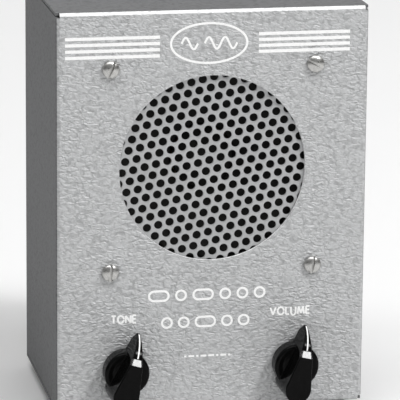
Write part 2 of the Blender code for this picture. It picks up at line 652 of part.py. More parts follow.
def knob_bar(name, center, turn):
    """Pointer bar as a loft of six-sided sections from tail to tip."""
    stations = [-KNOB_TAIL, *KNOB_TAIL_STATIONS, KNOB_FLAT_END, KNOB_FACET_END, *KNOB_NOSE_STATIONS, KNOB_TIP]
    bm = bmesh.new()
    rings = []
    for u in stations:
        foot = knob_half_width(u)
        crown = foot * KNOB_CROWN_SHARE
        top = knob_ridge(u)
        low = knob_underside(u)
        section = [(-foot, low), (foot, low), (crown, top - 0.5), (crown * 0.8, top), (-crown * 0.8, top),
                   (-crown, top - 0.5)]
        rings.append([bm.verts.new((across, u, height)) for across, height in section])
    for back, ahead in zip(rings, rings[1:]):
        for here in range(len(back)):
            after = (here + 1) % len(back)
            bm.faces.new((back[here], back[after], ahead[after], ahead[here]))
    bm.faces.new(rings[0])
    bm.faces.new(rings[-1])
    return to_object("join_bar_" + name, bm, center, turn, None)


def pointer_knob(name):
    """Moulded pointer knob: round skirt, bar, recess over the nut, shaft bore and set-screw hole."""
    center = place(KNOB_X[name], 0, CONTROL_Z)
    turn = (math.radians(90), math.radians(KNOB_TILT[name]), 0.0)
    skirt = [(0.0, KNOB_CLEARANCE), (KNOB_BASE_RADIUS - 0.4, KNOB_CLEARANCE),
             (KNOB_BASE_RADIUS, KNOB_CLEARANCE + 0.4), (KNOB_BASE_RADIUS, KNOB_BASE_TOP - 1.4),
             (KNOB_BASE_RADIUS - 0.5, KNOB_BASE_TOP - 0.4), (KNOB_BASE_RADIUS - 1.8, KNOB_BASE_TOP),
             (0.0, KNOB_BASE_TOP + 0.4)]
    knob = turned(name + "_knob", skirt, 26, center, turn, BAKELITE)
    weld(knob, knob_bar(name, center, turn))
    bore_end = SHAFT_TIP + GAP
    recess = [(0.0, -1.0), (KNOB_RECESS_RADIUS, -1.0), (KNOB_RECESS_RADIUS, KNOB_RECESS_TOP),
              (SHAFT_BORE_RADIUS, KNOB_RECESS_TOP), (SHAFT_BORE_RADIUS, bore_end), (0.0, bore_end)]
    cut(knob, turned("cut_recess_" + name, recess, 16, center, turn, None))
    tool = extruded("cut_setscrew_" + name, circle(SETSCREW_HOLE_RADIUS, 12), 2.0, KNOB_TAIL + 3.0,
                    (0, 0, 0), UPRIGHT, None)
    tool.parent = knob
    tool.location = (0.0, 0.0, SETSCREW_HEIGHT * MM)
    tool.rotation_euler = FACING_FRONT
    cut(knob, tool)
    profile = [(0.0, 3.6), (SETSCREW_RADIUS, 3.6), (SETSCREW_RADIUS, 9.0), (0.0, 9.0)]
    screw = turned(name + "_knob_setscrew", profile, 12, (0, 0, 0), UPRIGHT, STEEL)
    screw.parent = knob
    screw.location = (0.0, 0.0, SETSCREW_HEIGHT * MM)
    screw.rotation_euler = FACING_FRONT
    slot = boxes("cut_driver_" + name, [((-2.5, -0.35, 8.0), (2.5, 0.35, 10.0))], (0, 0, 0), UPRIGHT, None)
    slot.parent = screw
    cut(screw, slot)


# ---------------------------------------------------------------- chassis and electronics


def chassis_bracket():
    """Aluminium shelf on one bent leg with a foot flange screwed to the case floor."""
    top = SHELF_Z
    floor = SHEET + GAP
    foot = SHELF_FRONT - CHASSIS_FOOT
    lip = top - SHELF_LIP
    outline = [(foot, floor), (SHELF_FRONT, floor), (SHELF_FRONT, top - SHEET),
               (SHELF_REAR - SHEET, top - SHEET), (SHELF_REAR - SHEET, lip), (SHELF_REAR, lip),
               (SHELF_REAR, top), (SHELF_FRONT - SHEET, top), (SHELF_FRONT - SHEET, floor + SHEET),
               (foot, floor + SHEET)]
    bm = bmesh.new()
    draw_out(bm, [(-SHELF_WIDTH / 2, depth, height) for depth, height in outline], (SHELF_WIDTH, 0.0, 0.0))
    bracket = to_object("chassis_bracket", bm, place(0, 0, 0), UPRIGHT, ALUMINIUM, smooth=False)
    valves = [(x, VALVE_DEPTH) for x in VALVE_X.values()]
    above = {"low": top - 2 * SHEET, "high": top + SHEET, "location": place(0, 0, 0), "rotation": UPRIGHT}
    drill(bracket, "cut_socket_holes", SOCKET_HOLE_RADIUS, 20, valves, **above)
    drill(bracket, "cut_lead_hole", LEAD_HOLE_RADIUS, 12, [(TRANSFORMER_X - 18.0, 50.0)], **above)
    feet = [(side * CHASSIS_SCREW_X, CHASSIS_SCREW_DEPTH) for side in (-1, 1)]
    drill(bracket, "cut_foot_screws", CHASSIS_HOLE_RADIUS, 12, feet, 0.0, 3 * SHEET, place(0, 0, 0), UPRIGHT)
    for side, (x, depth) in zip(("left", "right"), feet):
        slotted_screw("chassis_screw_" + side, place(x, depth, 0), DOWNWARD, 3.2, 1.8, 1.5, 7.0, 20.0, NICKEL)


def valve_and_socket(name):
    """Seven-pin miniature valve standing in a phenolic socket."""
    deck = place(VALVE_X[name], VALVE_DEPTH, SHELF_Z)
    cup = [(0.0, -9.0), (7.8, -9.0), (7.8, GAP), (9.8, GAP), (9.8, 1.6), (6.8, 1.6), (6.8, -6.0), (0.0, -6.0)]
    turned(name + "_socket", cup, 16, deck, UPRIGHT, PHENOLIC)
    base = VALVE_BASE
    crown = base + VALVE_HEIGHTS[name]
    glass = [(0.0, base), (VALVE_RADIUS - 1.2, base), (VALVE_RADIUS, base + 1.6), (VALVE_RADIUS, crown - 9.0),
             (VALVE_RADIUS - 1.4, crown - 4.6), (VALVE_RADIUS - 5.0, crown - 2.0), (1.9, crown - 0.9),
             (0.9, crown + 3.0), (0.0, crown + 4.2)]
    valve = turned(name + "_valve", glass, 16, deck, UPRIGHT, GLASS)
    bm = bmesh.new()
    for step in range(VALVE_PINS):
        turn = math.tau * (step + 1) / (VALVE_PINS + 1)
        spot = Vector((PIN_CIRCLE_RADIUS * math.cos(turn), PIN_CIRCLE_RADIUS * math.sin(turn), base - 2.6))
        bmesh.ops.create_cone(bm, cap_ends=True, segments=6, radius1=PIN_RADIUS, radius2=PIN_RADIUS,
                              depth=PIN_LENGTH, matrix=Matrix.Translation(spot))
    weld(valve, to_object("join_pins_" + name, bm, deck, UPRIGHT, None))


def output_transformer():
    """Laminated core with its winding, held on the shelf by a channel strap."""
    deck = place(TRANSFORMER_X, TRANSFORMER_DEPTH, SHELF_Z + GAP)
    half = CORE_HALF_WIDTH
    top = CORE_HEIGHT
    core = extruded("transformer_core", [(-half, 0), (half, 0), (half, top), (-half, top)], -CORE_HALF_STACK,
                    CORE_HALF_STACK, deck, FACING_FRONT, LAMINATION)
    windows = [((side * half / 2 - 2.9, 5.5, -8.0), (side * half / 2 + 2.9, top - 5.5, 8.0))
               for side in (-1, 1)]
    cut(core, boxes("cut_core_windows", windows, deck, FACING_FRONT, None))
    winding = ((-11.0, 5.9, -12.0), (11.0, top - 5.9, 12.0))
    bobbin = boxes("transformer_winding", [winding], deck, FACING_FRONT, WINDING_PAPER)
    leg = ((-5.95, 0.0, -CORE_HALF_STACK - 0.35), (5.95, top + 1.0, CORE_HALF_STACK + 0.35))
    cut(bobbin, boxes("cut_bobbin_leg", [leg], deck, FACING_FRONT, None))
    inner = half + 0.4
    outer = half + 1.4
    foot = half + 4.5
    strap = [(-foot, 0), (-inner, 0), (-inner, top + 0.4), (inner, top + 0.4), (inner, 0), (foot, 0),
             (foot, 1.0), (outer, 1.0), (outer, top + 1.4), (-outer, top + 1.4), (-outer, 1.0), (-foot, 1.0)]
    extruded("transformer_strap", strap, -5.0, 5.0, deck, FACING_FRONT, STEEL)


def lead_component(name, location, radius, length, wire, finish):
    """Tubular part lying along X with a stiff wire out of each end, drawn about its middle."""
    half = length / 2
    end = half + WIRE_LENGTH
    profile = [(0.0, -end), (wire, -end), (wire, -half), (radius, -half), (radius, half), (wire, half),
               (wire, end), (0.0, end)]
    turned(name, profile, 10, location, ALONG_X, finish)


def small_parts():
    """Filter capacitor on the shelf, and the capacitors and resistors wired up under it."""
    can = [(0.0, GAP), (CAPACITOR_RADIUS, GAP), (CAPACITOR_RADIUS, CAPACITOR_HEIGHT - 1.0),
           (CAPACITOR_RADIUS - 1.2, CAPACITOR_HEIGHT), (0.0, CAPACITOR_HEIGHT)]
    turned("filter_capacitor", can, 20, place(CAPACITOR_X, CAPACITOR_DEPTH, SHELF_Z), UPRIGHT, CAPACITOR_CAN)
    lead_component("dropping_resistor", place(0.0, 51.0, 30.0), 4.2, 44.0, 0.5, CERAMIC)
    lead_component("coupling_capacitor", place(-36.0, 57.0, 27.0), 4.5, 24.0, 0.4, WAX_PAPER)
    lead_component("tone_capacitor", place(-34.0, 25.0, 8.0), 4.0, 20.0, 0.4, WAX_PAPER)
    lead_component("cathode_resistor", place(34.0, 62.0, 31.0), 2.2, 11.0, 0.4, RESISTOR_BROWN)


def tag_strip():
    """Insulating strip on an angled foot, with four solder lugs."""
    origin = place(0, 60.0, SHEET + GAP)
    tags = boxes("tag_strip", [((-26.0, 0.0, 6.0), (26.0, 1.6, 15.0))], origin, UPRIGHT, PHENOLIC)
    leg = ((-3.0, 0.0, 0.0), (3.0, 1.6, 7.0))
    weld(tags, boxes("join_tag_leg", [leg], origin, UPRIGHT, None))
    foot = ((-3.0, 0.0, 0.0), (3.0, 8.0, 1.2))
    weld(tags, boxes("join_tag_foot", [foot], origin, UPRIGHT, None))
    lugs = [((x - 1.2, -1.0, 9.0), (x + 1.2, 0.4, 18.0)) for x in (-21.0, -10.5, 10.5, 21.0)]
    weld(tags, boxes("join_tag_lugs", lugs, origin, UPRIGHT, None))


def rear_fittings():
    """Key terminal board and its two screws on the cover, and the rubber cord grommet."""
    middle = sum(TERMINAL_X) / 2
    board_depth = CASE_DEPTH + GAP
    center = place(middle, board_depth, TERMINAL_Z)
    outline = rounded_rectangle(BOARD_WIDTH, BOARD_HEIGHT, 1.5, corner_steps=2)
    board = extruded("key_terminal_board", outline, 0.0, BOARD_THICKNESS, center, FACING_BACK, PHENOLIC)
    holes = [(x - middle, 0.0) for x in TERMINAL_X]
    drill(board, "cut_board_holes", BOARD_HOLE_RADIUS, 12, holes, -1.0, 4.0, center, FACING_BACK)
    head_height = TERMINAL_REACH - GAP - BOARD_THICKNESS
    for side, x in zip(("left", "right"), TERMINAL_X):
        spot = place(x, board_depth + BOARD_THICKNESS, TERMINAL_Z)
        slotted_screw("terminal_screw_" + side, spot, FACING_BACK, 3.9, head_height, 1.7, 9.0, 40.0, BRASS)
    spot = place(GROMMET_X, COVER_FACE, GROMMET_Z)
    inside = -GAP
    outside = SHEET + GAP
    grommet = [(3.2, inside - 2.9), (6.2, inside - 2.9), (7.0, inside - 1.9), (7.0, inside), (4.8, inside),
               (4.8, outside), (7.0, outside), (7.0, outside + 1.3), (6.2, outside + 2.3),
               (3.2, outside + 2.3)]
    turned("cord_grommet", grommet, 16, spot, FACING_BACK, RUBBER, ring=True)


def lead(name, route, radius, finish):
    """Insulated wire as a tube along a smooth curve through its route's points."""
    points = [place(*spot) for spot in route]
    curve = bpy.data.curves.new(name, "CURVE")
    curve.dimensions = "3D"
    curve.bevel_depth = radius * MM
    curve.bevel_resolution = 1
    curve.use_fill_caps = True
    smooth = smooth_path(points, 4)
    spline = curve.splines.new("POLY")
    spline.points.add(len(smooth) - 1)
    for slot, spot in zip(spline.points, smooth):
        slot.co = (*spot, 1.0)
    curve.materials.append(finish)
    made = bpy.data.objects.new(name, curve)
    bpy.context.collection.objects.link(made)


def smooth_path(points, steps):
    """Catmull-Rom curve through the points."""
    padded = [points[0]] + points + [points[-1]]
    path = []
    for before, start, end, after in zip(padded, padded[1:], padded[2:], padded[3:]):
        for step in range(steps):
            t = step / steps
            path.append(0.5 * (2 * start + (end - before) * t
                               + (2 * before - 5 * start + 4 * end - after) * t ** 2
                               + (3 * start - before - 3 * end + after) * t ** 3))
    path.append(points[-1])
    return path


def speaker_leads():
    """Two wires from the loudspeaker's lug board to the output transformer."""
    lug_depth = MAGNET_DEPTH + 6.5
    lug_height = SPEAKER_Z - MAGNET_RADIUS - 6.5
    for name, side, drop in (("speaker_lead_a", -1, 12.0), ("speaker_lead_b", 1, 6.0)):
        route = [(side * 5.0, lug_depth, lug_height),
                 (side * 5.0 + 1.0, lug_depth + 1.0, lug_height - 0.6 * drop),
                 (13.0 + 5.0 * side, lug_depth + 2.0, lug_height - drop),
                 (26.0 + 3.0 * side, lug_depth + 4.0, lug_height - drop),
                 (35.0 + 3.0 * side, 52.6, SHELF_Z + 20.0 + 2.0 * side)]
        lead(name, route, LEAD_RADIUS, LEAD_CLOTH)


# ---------------------------------------------------------------- build

for old in list(bpy.data.objects):
    bpy.data.objects.remove(old, do_unlink=True)

HAMMERTONE = material("hammertone_grey", (0.42, 0.43, 0.43), 0.42, 0.35)
CASE_PAINT = material("case_grey", (0.30, 0.31, 0.31), 0.5, 0.2)
STEEL = material("plated_steel", (0.62, 0.62, 0.61), 0.35, 1.0)
STEEL_DARK = material("basket_steel", (0.36, 0.35, 0.33), 0.45, 1.0)
NICKEL = material("nickel", (0.72, 0.71, 0.69), 0.22, 1.0)
BRASS = material("brass", (0.72, 0.56, 0.30), 0.3, 1.0)
COPPER = material("copper_wire", (0.62, 0.30, 0.16), 0.35, 1.0)
ALUMINIUM = material("aluminium", (0.74, 0.74, 0.75), 0.4, 1.0)
POT_METAL = material("pot_can", (0.60, 0.60, 0.60), 0.4, 1.0)
LAMINATION = material("lamination_steel", (0.22, 0.21, 0.22), 0.5, 0.9)
MAGNET_PAINT = material("magnet_paint", (0.10, 0.14, 0.20), 0.45)
BAKELITE = material("bakelite_black", (0.012, 0.012, 0.013), 0.12)
RUBBER = material("black_rubber", (0.03, 0.03, 0.03), 0.7)
FELT = material("gasket_felt", (0.10, 0.10, 0.10), 0.95)
PAPER = material("cone_paper", (0.07, 0.065, 0.06), 0.9)
SPIDER_CLOTH = material("spider_cloth", (0.45, 0.30, 0.14), 0.85)
PHENOLIC = material("phenolic_brown", (0.20, 0.10, 0.05), 0.4)
GLASS = material("valve_glass", (0.80, 0.84, 0.84), 0.05)
WINDING_PAPER = material("winding_paper", (0.55, 0.42, 0.24), 0.8)
CAPACITOR_CAN = material("capacitor_can", (0.68, 0.69, 0.70), 0.3, 1.0)
CERAMIC = material("resistor_ceramic", (0.24, 0.31, 0.24), 0.6)
WAX_PAPER = material("wax_paper", (0.66, 0.52, 0.26), 0.5)
RESISTOR_BROWN = material("resistor_brown", (0.22, 0.11, 0.06), 0.45)
LEAD_CLOTH = material("lead_cloth", (0.45, 0.40, 0.12), 0.8)

cabinet_shell()
back_cover()
case_fasteners()
speaker_grille()
speaker_basket()
speaker_diaphragm()
speaker_magnet()
speaker_fasteners()
for control in KNOB_X:
    potentiometer(control)
    pointer_knob(control)
power_switch()
chassis_bracket()
for valve in VALVE_X:
    valve_and_socket(valve)
output_transformer()
small_parts()
tag_strip()
rear_fittings()
speaker_leads()
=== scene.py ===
"""Looks of the code practice oscillator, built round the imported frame.

Lengths are in millimetres, as in a workshop drawing; each mesh is finished in metres.
Depths are counted from the face of the front panel and heights from the underside of the case.
"""

import json
import math

import bmesh
import bpy
from mathutils import Matrix, Vector


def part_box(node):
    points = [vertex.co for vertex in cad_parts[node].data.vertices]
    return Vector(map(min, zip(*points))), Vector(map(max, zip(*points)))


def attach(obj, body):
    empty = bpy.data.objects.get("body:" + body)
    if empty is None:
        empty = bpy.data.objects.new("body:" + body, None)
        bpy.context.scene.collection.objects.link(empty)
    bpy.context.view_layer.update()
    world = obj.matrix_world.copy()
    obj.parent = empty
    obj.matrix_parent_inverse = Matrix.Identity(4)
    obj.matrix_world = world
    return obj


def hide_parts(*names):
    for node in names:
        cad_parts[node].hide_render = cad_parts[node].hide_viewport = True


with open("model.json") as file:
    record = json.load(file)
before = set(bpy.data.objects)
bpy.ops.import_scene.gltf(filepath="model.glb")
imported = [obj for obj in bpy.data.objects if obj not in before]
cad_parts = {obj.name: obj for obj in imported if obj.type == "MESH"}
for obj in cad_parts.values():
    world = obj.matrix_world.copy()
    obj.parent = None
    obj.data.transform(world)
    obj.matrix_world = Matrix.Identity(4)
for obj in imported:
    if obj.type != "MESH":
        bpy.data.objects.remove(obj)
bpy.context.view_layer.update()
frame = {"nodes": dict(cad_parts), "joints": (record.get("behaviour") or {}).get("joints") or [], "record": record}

MM = 0.001
SHELL_LOW, SHELL_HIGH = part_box("cabinet_shell")
COVER_LOW, COVER_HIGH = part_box("back_cover")
PANEL_Y = SHELL_LOW.y / MM
CASE_FLOOR = SHELL_LOW.z / MM
CASE_WIDTH = (SHELL_HIGH.x - SHELL_LOW.x) / MM
CASE_HEIGHT = (SHELL_HIGH.z - SHELL_LOW.z) / MM
CASE_DEPTH = COVER_HIGH.y / MM - PANEL_Y
COVER_START = COVER_LOW.y / MM - PANEL_Y

GAP = 0.3
SHEET = 1.2
BEND_RADIUS = 1.8
INNER_BEND = 0.6
SEAM = 0.5
CORNER_NOTCH = 1.5
SHELL_END = COVER_START - GAP
COVER_FACE = CASE_DEPTH - SHEET
INNER_X = CASE_WIDTH / 2 - SHEET
INNER_TOP = CASE_HEIGHT - SHEET

FACING_FRONT = (math.radians(90), 0.0, 0.0)
FACING_BACK = (math.radians(-90), 0.0, 0.0)
UPRIGHT = (0.0, 0.0, 0.0)
DOWNWARD = (math.radians(180), 0.0, 0.0)

CORNERS = ("tl", "tr", "bl", "br")
ENDS = ("front", "rear")
SIDES = ("left", "right")
BODY = "case"


# ---- places


def place(x, depth, height):
    """Point in the world, in metres, from a place in the case."""
    return Vector((x, PANEL_Y + depth, CASE_FLOOR + height)) * MM


CASE_ORIGIN = place(0, 0, 0)


def middle(node):
    """Middle of a CAD node as (x, depth, height) in the case."""
    low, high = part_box(node)
    spot = (low + high) / 2 / MM
    return spot.x, spot.y - PANEL_Y, spot.z - CASE_FLOOR


def depths(node):
    """Depths in the case of a CAD node's front and back."""
    low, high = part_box(node)
    return low.y / MM - PANEL_Y, high.y / MM - PANEL_Y


def spans(node):
    """Width, depth and height of a CAD node."""
    low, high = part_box(node)
    return [(far - near) / MM for near, far in zip(low, high)]


def on_panel(spots):
    """Places in the case seen square on, as (x, height)."""
    return [(x, height) for x, _, height in spots]


def joint_place(name):
    """Place of a hinge as x and height in the case."""
    found = next(joint for joint in frame["joints"] if joint["name"] == name)
    x, _, z = found["pos_m"]
    return x / MM, z / MM - CASE_FLOOR


SPEAKER_X, _, SPEAKER_Z = middle("speaker_magnet")
SCREW_SPOTS = {corner: middle("speaker_screw_" + corner) for corner in CORNERS}
COVER_SCREW_SPOTS = {corner: middle("cover_screw_" + corner) for corner in CORNERS}
OPENING_RADIUS = 38.1
VENT_SLOTS = 7
VENT_PITCH = 11.0
VENT_BANKS = (SPEAKER_Z + 22.0, 56.0)
KNOB_SPOTS = {name: joint_place(name + "_knob_turn") for name in ("tone", "volume")}


# ---- material helpers


class Nodes:
    """Short names for building a material's node tree, where a value is a number or a node's output."""

    def __init__(self, name):
        self.made = bpy.data.materials.new(name)
        self.made.use_nodes = True
        self.tree = self.made.node_tree
        self.shader = self.tree.nodes["Principled BSDF"]
        self.spot = self.add("ShaderNodeTexCoord").outputs["Object"]

    def put(self, value, socket):
        if hasattr(value, "is_linked"):
            self.tree.links.new(value, socket)
        else:
            socket.default_value = value

    def add(self, kind, values=None, **settings):
        """New node with its settings, then the values of its sockets."""
        node = self.tree.nodes.new(kind)
        for key, value in settings.items():
            setattr(node, key, value)
        for key, value in (values or {}).items():
            self.put(value, node.inputs[key])
        return node

    def set(self, **values):
        """Sockets of the shader, by name with underscores for spaces."""
        for key, value in values.items():
            self.put(value, self.shader.inputs[key.replace("_", " ")])

    def stretched(self, scale, turn=(0.0, 0.0, 0.0)):
        """Object coordinates scaled apart along the axes, in features per metre."""
        values = {"Vector": self.spot, "Scale": scale, "Rotation": turn}
        return self.add("ShaderNodeMapping", values).outputs["Vector"]

    def noise(self, vector, scale=1.0, detail=3.0, roughness=0.55, distortion=0.0, output="Fac"):
        values = {"Vector": vector, "Scale": scale, "Detail": detail, "Roughness": roughness,
                  "Distortion": distortion}
        return self.add("ShaderNodeTexNoise", values).outputs[output]

    def bands(self, axis, scale, distortion):
        """Parallel waves that follow each other along an axis."""
        values = {"Vector": self.spot, "Scale": scale, "Distortion": distortion}
        return self.add("ShaderNodeTexWave", values, wave_type="BANDS", bands_direction=axis).outputs["Fac"]

    def spread(self, value, low, high, start=0.3, end=0.7):
        """Map a 0 to 1 field to a range."""
        values = {"Value": value, "From Min": start, "From Max": end, "To Min": low, "To Max": high}
        return self.add("ShaderNodeMapRange", values).outputs["Result"]

    def colors(self, value, *stops):
        """Colour ramp from (position, colour) stops."""
        node = self.add("ShaderNodeValToRGB", {"Fac": value})
        ramp = node.color_ramp.elements
        for element, (position, color) in ((ramp[0], stops[0]), (ramp[1], stops[-1])):
            element.position, element.color = position, (*color, 1.0)
        for position, color in stops[1:-1]:
            ramp.new(position).color = (*color, 1.0)
        return node.outputs["Color"]

    def multiplied(self, first, second):
        """Product of two colours."""
        node = self.add("ShaderNodeMix", data_type="RGBA", blend_type="MULTIPLY")
        for name, value in (("Factor", 1.0), ("A", first), ("B", second)):
            self.put(value, next(item for item in node.inputs if item.name == name and item.enabled))
        return next(item for item in node.outputs if item.name == "Result" and item.enabled)

    def math(self, operation, first, second):
        return self.add("ShaderNodeMath", {0: first, 1: second}, operation=operation).outputs[0]

    def bump(self, height, strength, distance, under=None):
        """Relief with its depth in millimetres, over another relief if one is given."""
        values = {"Height": height, "Strength": strength, "Distance": distance * MM}
        if under is not None:
            values["Normal"] = under
        return self.add("ShaderNodeBump", values).outputs["Normal"]

    def finish(self, color=None, roughness=None, normal=None):
        for source, socket in ((color, "Base Color"), (roughness, "Roughness"), (normal, "Normal")):
            if source is not None:
                self.put(source, self.shader.inputs[socket])
        return self.made


def shade(color, factor):
    """A colour made lighter or darker."""
    return tuple(min(1.0, part * factor) for part in color)


def plain_finish(name, color, roughness, metallic=0.0, grain=1.0, spread=0.12, relief=0.02,
                 stretch=(1.0, 1.0, 1.0), **sockets):
    """Even finish with grain of a given size in millimetres: slight colour, gloss and surface changes."""
    nodes = Nodes(name)
    scale = 1.0 / (grain * MM)
    field = nodes.noise(nodes.stretched([scale * part for part in stretch]), detail=4.0)
    broad = nodes.noise(nodes.spot, scale=60.0, detail=2.0)
    tint = nodes.colors(field, (0.25, shade(color, 1 - spread)), (0.75, shade(color, 1 + spread)))
    tint = nodes.multiplied(tint, nodes.colors(broad, (0.3, (0.9,) * 3), (0.7, (1.0,) * 3)))
    gloss = nodes.spread(field, max(0.02, roughness * 0.8), min(1.0, roughness * 1.2))
    nodes.set(Metallic=metallic, **sockets)
    return nodes.finish(tint, gloss, nodes.bump(field, 0.6, relief))


# ---- special materials


def hammertone_paint(name, tone, relief, metallic, specular):
    """Grey metallic enamel: flow lines draw shallow cells, longer across than high, between darker seams that are
    partly painted shade.
    """
    nodes = Nodes(name)
    base = nodes.stretched((1.0, 1.0, 1.7), (0.0, math.radians(8), 0.0))
    drift = nodes.noise(base, scale=260.0, detail=2.0, roughness=0.5, output="Color")
    bent = nodes.add("ShaderNodeVectorMath", {0: drift, 1: (0.006,) * 3, 2: base},
                     operation="MULTIPLY_ADD").outputs[0]
    cells = nodes.add("ShaderNodeTexVoronoi", {"Vector": bent, "Scale": 480.0, "Smoothness": 0.45},
                      feature="SMOOTH_F1").outputs["Distance"]
    flow = nodes.noise(bent, scale=700.0, detail=2.0, roughness=0.5, distortion=0.3)
    height = nodes.math("ADD", nodes.spread(cells, 1.0, 0.0, 0.1, 0.8), nodes.math("MULTIPLY", flow, 0.9))
    calm = nodes.spread(nodes.noise(nodes.spot, scale=60.0, detail=2.0), 0.55 * relief, relief, 0.35, 0.6)
    fine = nodes.bump(nodes.noise(nodes.spot, scale=2600.0, detail=2.0), 0.25, 0.02)
    # Colour follows the relief: darker hollows are painted shade and lighter crests are painted light, over the
    # paint's own tone.
    tint = nodes.colors(nodes.math("MULTIPLY", height, 0.55),
                        (0.2, shade(tone, 0.74)), (0.5, tone), (0.8, shade(tone, 1.1)))
    nodes.set(Metallic=metallic, Specular_IOR_Level=specular)
    return nodes.finish(tint, nodes.spread(height, 0.46, 0.56, 0.4, 1.5), nodes.bump(height, calm, 0.5, fine))


def printing_ink():
    """White silk-screen ink, slightly uneven over the paint's texture."""
    nodes = Nodes("printing_ink")
    field = nodes.noise(nodes.stretched((900.0, 900.0, 1200.0)), detail=4.0)
    tint = nodes.colors(field, (0.3, (0.92, 0.92, 0.915)), (0.6, (1.0, 1.0, 0.995)))
    return nodes.finish(tint, nodes.spread(field, 0.45, 0.62), nodes.bump(field, 0.3, 0.03))


def knob_moulding(name, specular):
    """Black moulding with faint swirls and handling marks."""
    nodes = Nodes(name)
    swirl = nodes.noise(nodes.stretched((300.0, 300.0, 300.0)), detail=5.0, distortion=2.0)
    marks = nodes.noise(nodes.stretched((2200.0, 900.0, 900.0)), detail=3.0)
    tint = nodes.colors(swirl, (0.3, (0.002,) * 3), (0.7, (0.004,) * 3))
    nodes.set(Specular_IOR_Level=specular)
    return nodes.finish(tint, nodes.spread(marks, 0.07, 0.14), nodes.bump(swirl, 0.1, 0.02))


def bright_plate(name, color, roughness=0.2):
    """Plated metal with fine turning marks and slight tarnish."""
    nodes = Nodes(name)
    marks = nodes.noise(nodes.stretched((1500.0, 1500.0, 9000.0)), detail=4.0)
    stain = nodes.noise(nodes.spot, scale=420.0, detail=3.0)
    tint = nodes.colors(stain, (0.35, shade(color, 0.78)), (0.62, color))
    nodes.set(Metallic=1.0)
    return nodes.finish(tint, nodes.spread(marks, roughness * 0.7, roughness * 1.5),
                        nodes.bump(marks, 0.25, 0.01))


def laminations():
    """Dark stacked core plates, seen as fine lines along the stack."""
    nodes = Nodes("laminations")
    waves = nodes.bands("Y", 320.0, 0.4)
    stain = nodes.noise(nodes.spot, scale=300.0, detail=4.0)
    tint = nodes.multiplied(nodes.colors(waves, (0.2, (0.07, 0.07, 0.075)), (0.8, (0.26, 0.25, 0.26))),
                            nodes.colors(stain, (0.3, (0.75, 0.72, 0.70)), (0.7, (1.0, 1.0, 1.0))))
    nodes.set(Metallic=0.8)
    return nodes.finish(tint, nodes.spread(stain, 0.4, 0.6), nodes.bump(waves, 0.5, 0.08))


def clear_glass():
    """Thin clear envelope."""
    nodes = Nodes("valve_glass")
    field = nodes.noise(nodes.spot, scale=160.0, detail=2.0)
    nodes.set(Transmission_Weight=1.0, IOR=1.45)
    tint = nodes.colors(field, (0.3, (0.93, 0.96, 0.95)), (0.7, (1.0, 1.0, 1.0)))
    return nodes.finish(tint, nodes.spread(field, 0.02, 0.05))


def woven(name, color, thread=0.35, roughness=0.85):
    """Fine cloth: two crossing sets of threads."""
    nodes = Nodes(name)
    height = nodes.math("MAXIMUM", *(nodes.bands(axis, 0.31 / (thread * MM), 0.6) for axis in "XZ"))
    tint = nodes.colors(height, (0.2, shade(color, 0.55)), (0.9, shade(color, 1.15)))
    nodes.set(Roughness=roughness, Sheen_Weight=0.2)
    return nodes.finish(tint, None, nodes.bump(height, 0.7, 0.1))


PAINT = hammertone_paint("hammertone_paint", (0.53, 0.535, 0.54), relief=1.0, metallic=0.3, specular=0.4)
# Darker flange paint, which also stands in for the shade on the top and sides; on faces deep in the corner notches
# it is painted shade.
FLANGE_SHADE_PAINT = hammertone_paint("hammertone_flange_shade", (0.17, 0.172, 0.175), relief=0.2, metallic=0.0,
                                specular=0.02)
# Near-white paint: a painted highlight on the top bend and on the wall of the speaker opening.
HIGHLIGHT_PAINT = hammertone_paint("hammertone_painted_highlight", (0.92, 0.925, 0.93), relief=0.1, metallic=0.1, specular=0.6)
INK = printing_ink()
MOULDING = knob_moulding("knob_moulding", 0.07)
FACET_MOULDING = knob_moulding("knob_facet", 0.3)
NICKEL = bright_plate("nickel_plate", (0.56, 0.555, 0.54), 0.3)
BRASS = bright_plate("brass", (0.74, 0.57, 0.30), 0.26)
GRILLE_PAINT = plain_finish("grille_enamel", (0.46, 0.465, 0.47), 0.42, 0.3, grain=0.8, spread=0.1,
                            relief=0.03, Coat_Weight=0.2)
COVER_PAINT = plain_finish("cover_enamel", (0.18, 0.182, 0.185), 0.5, grain=0.5, relief=0.04,
                           Specular_IOR_Level=0.1)
GLASS = clear_glass()
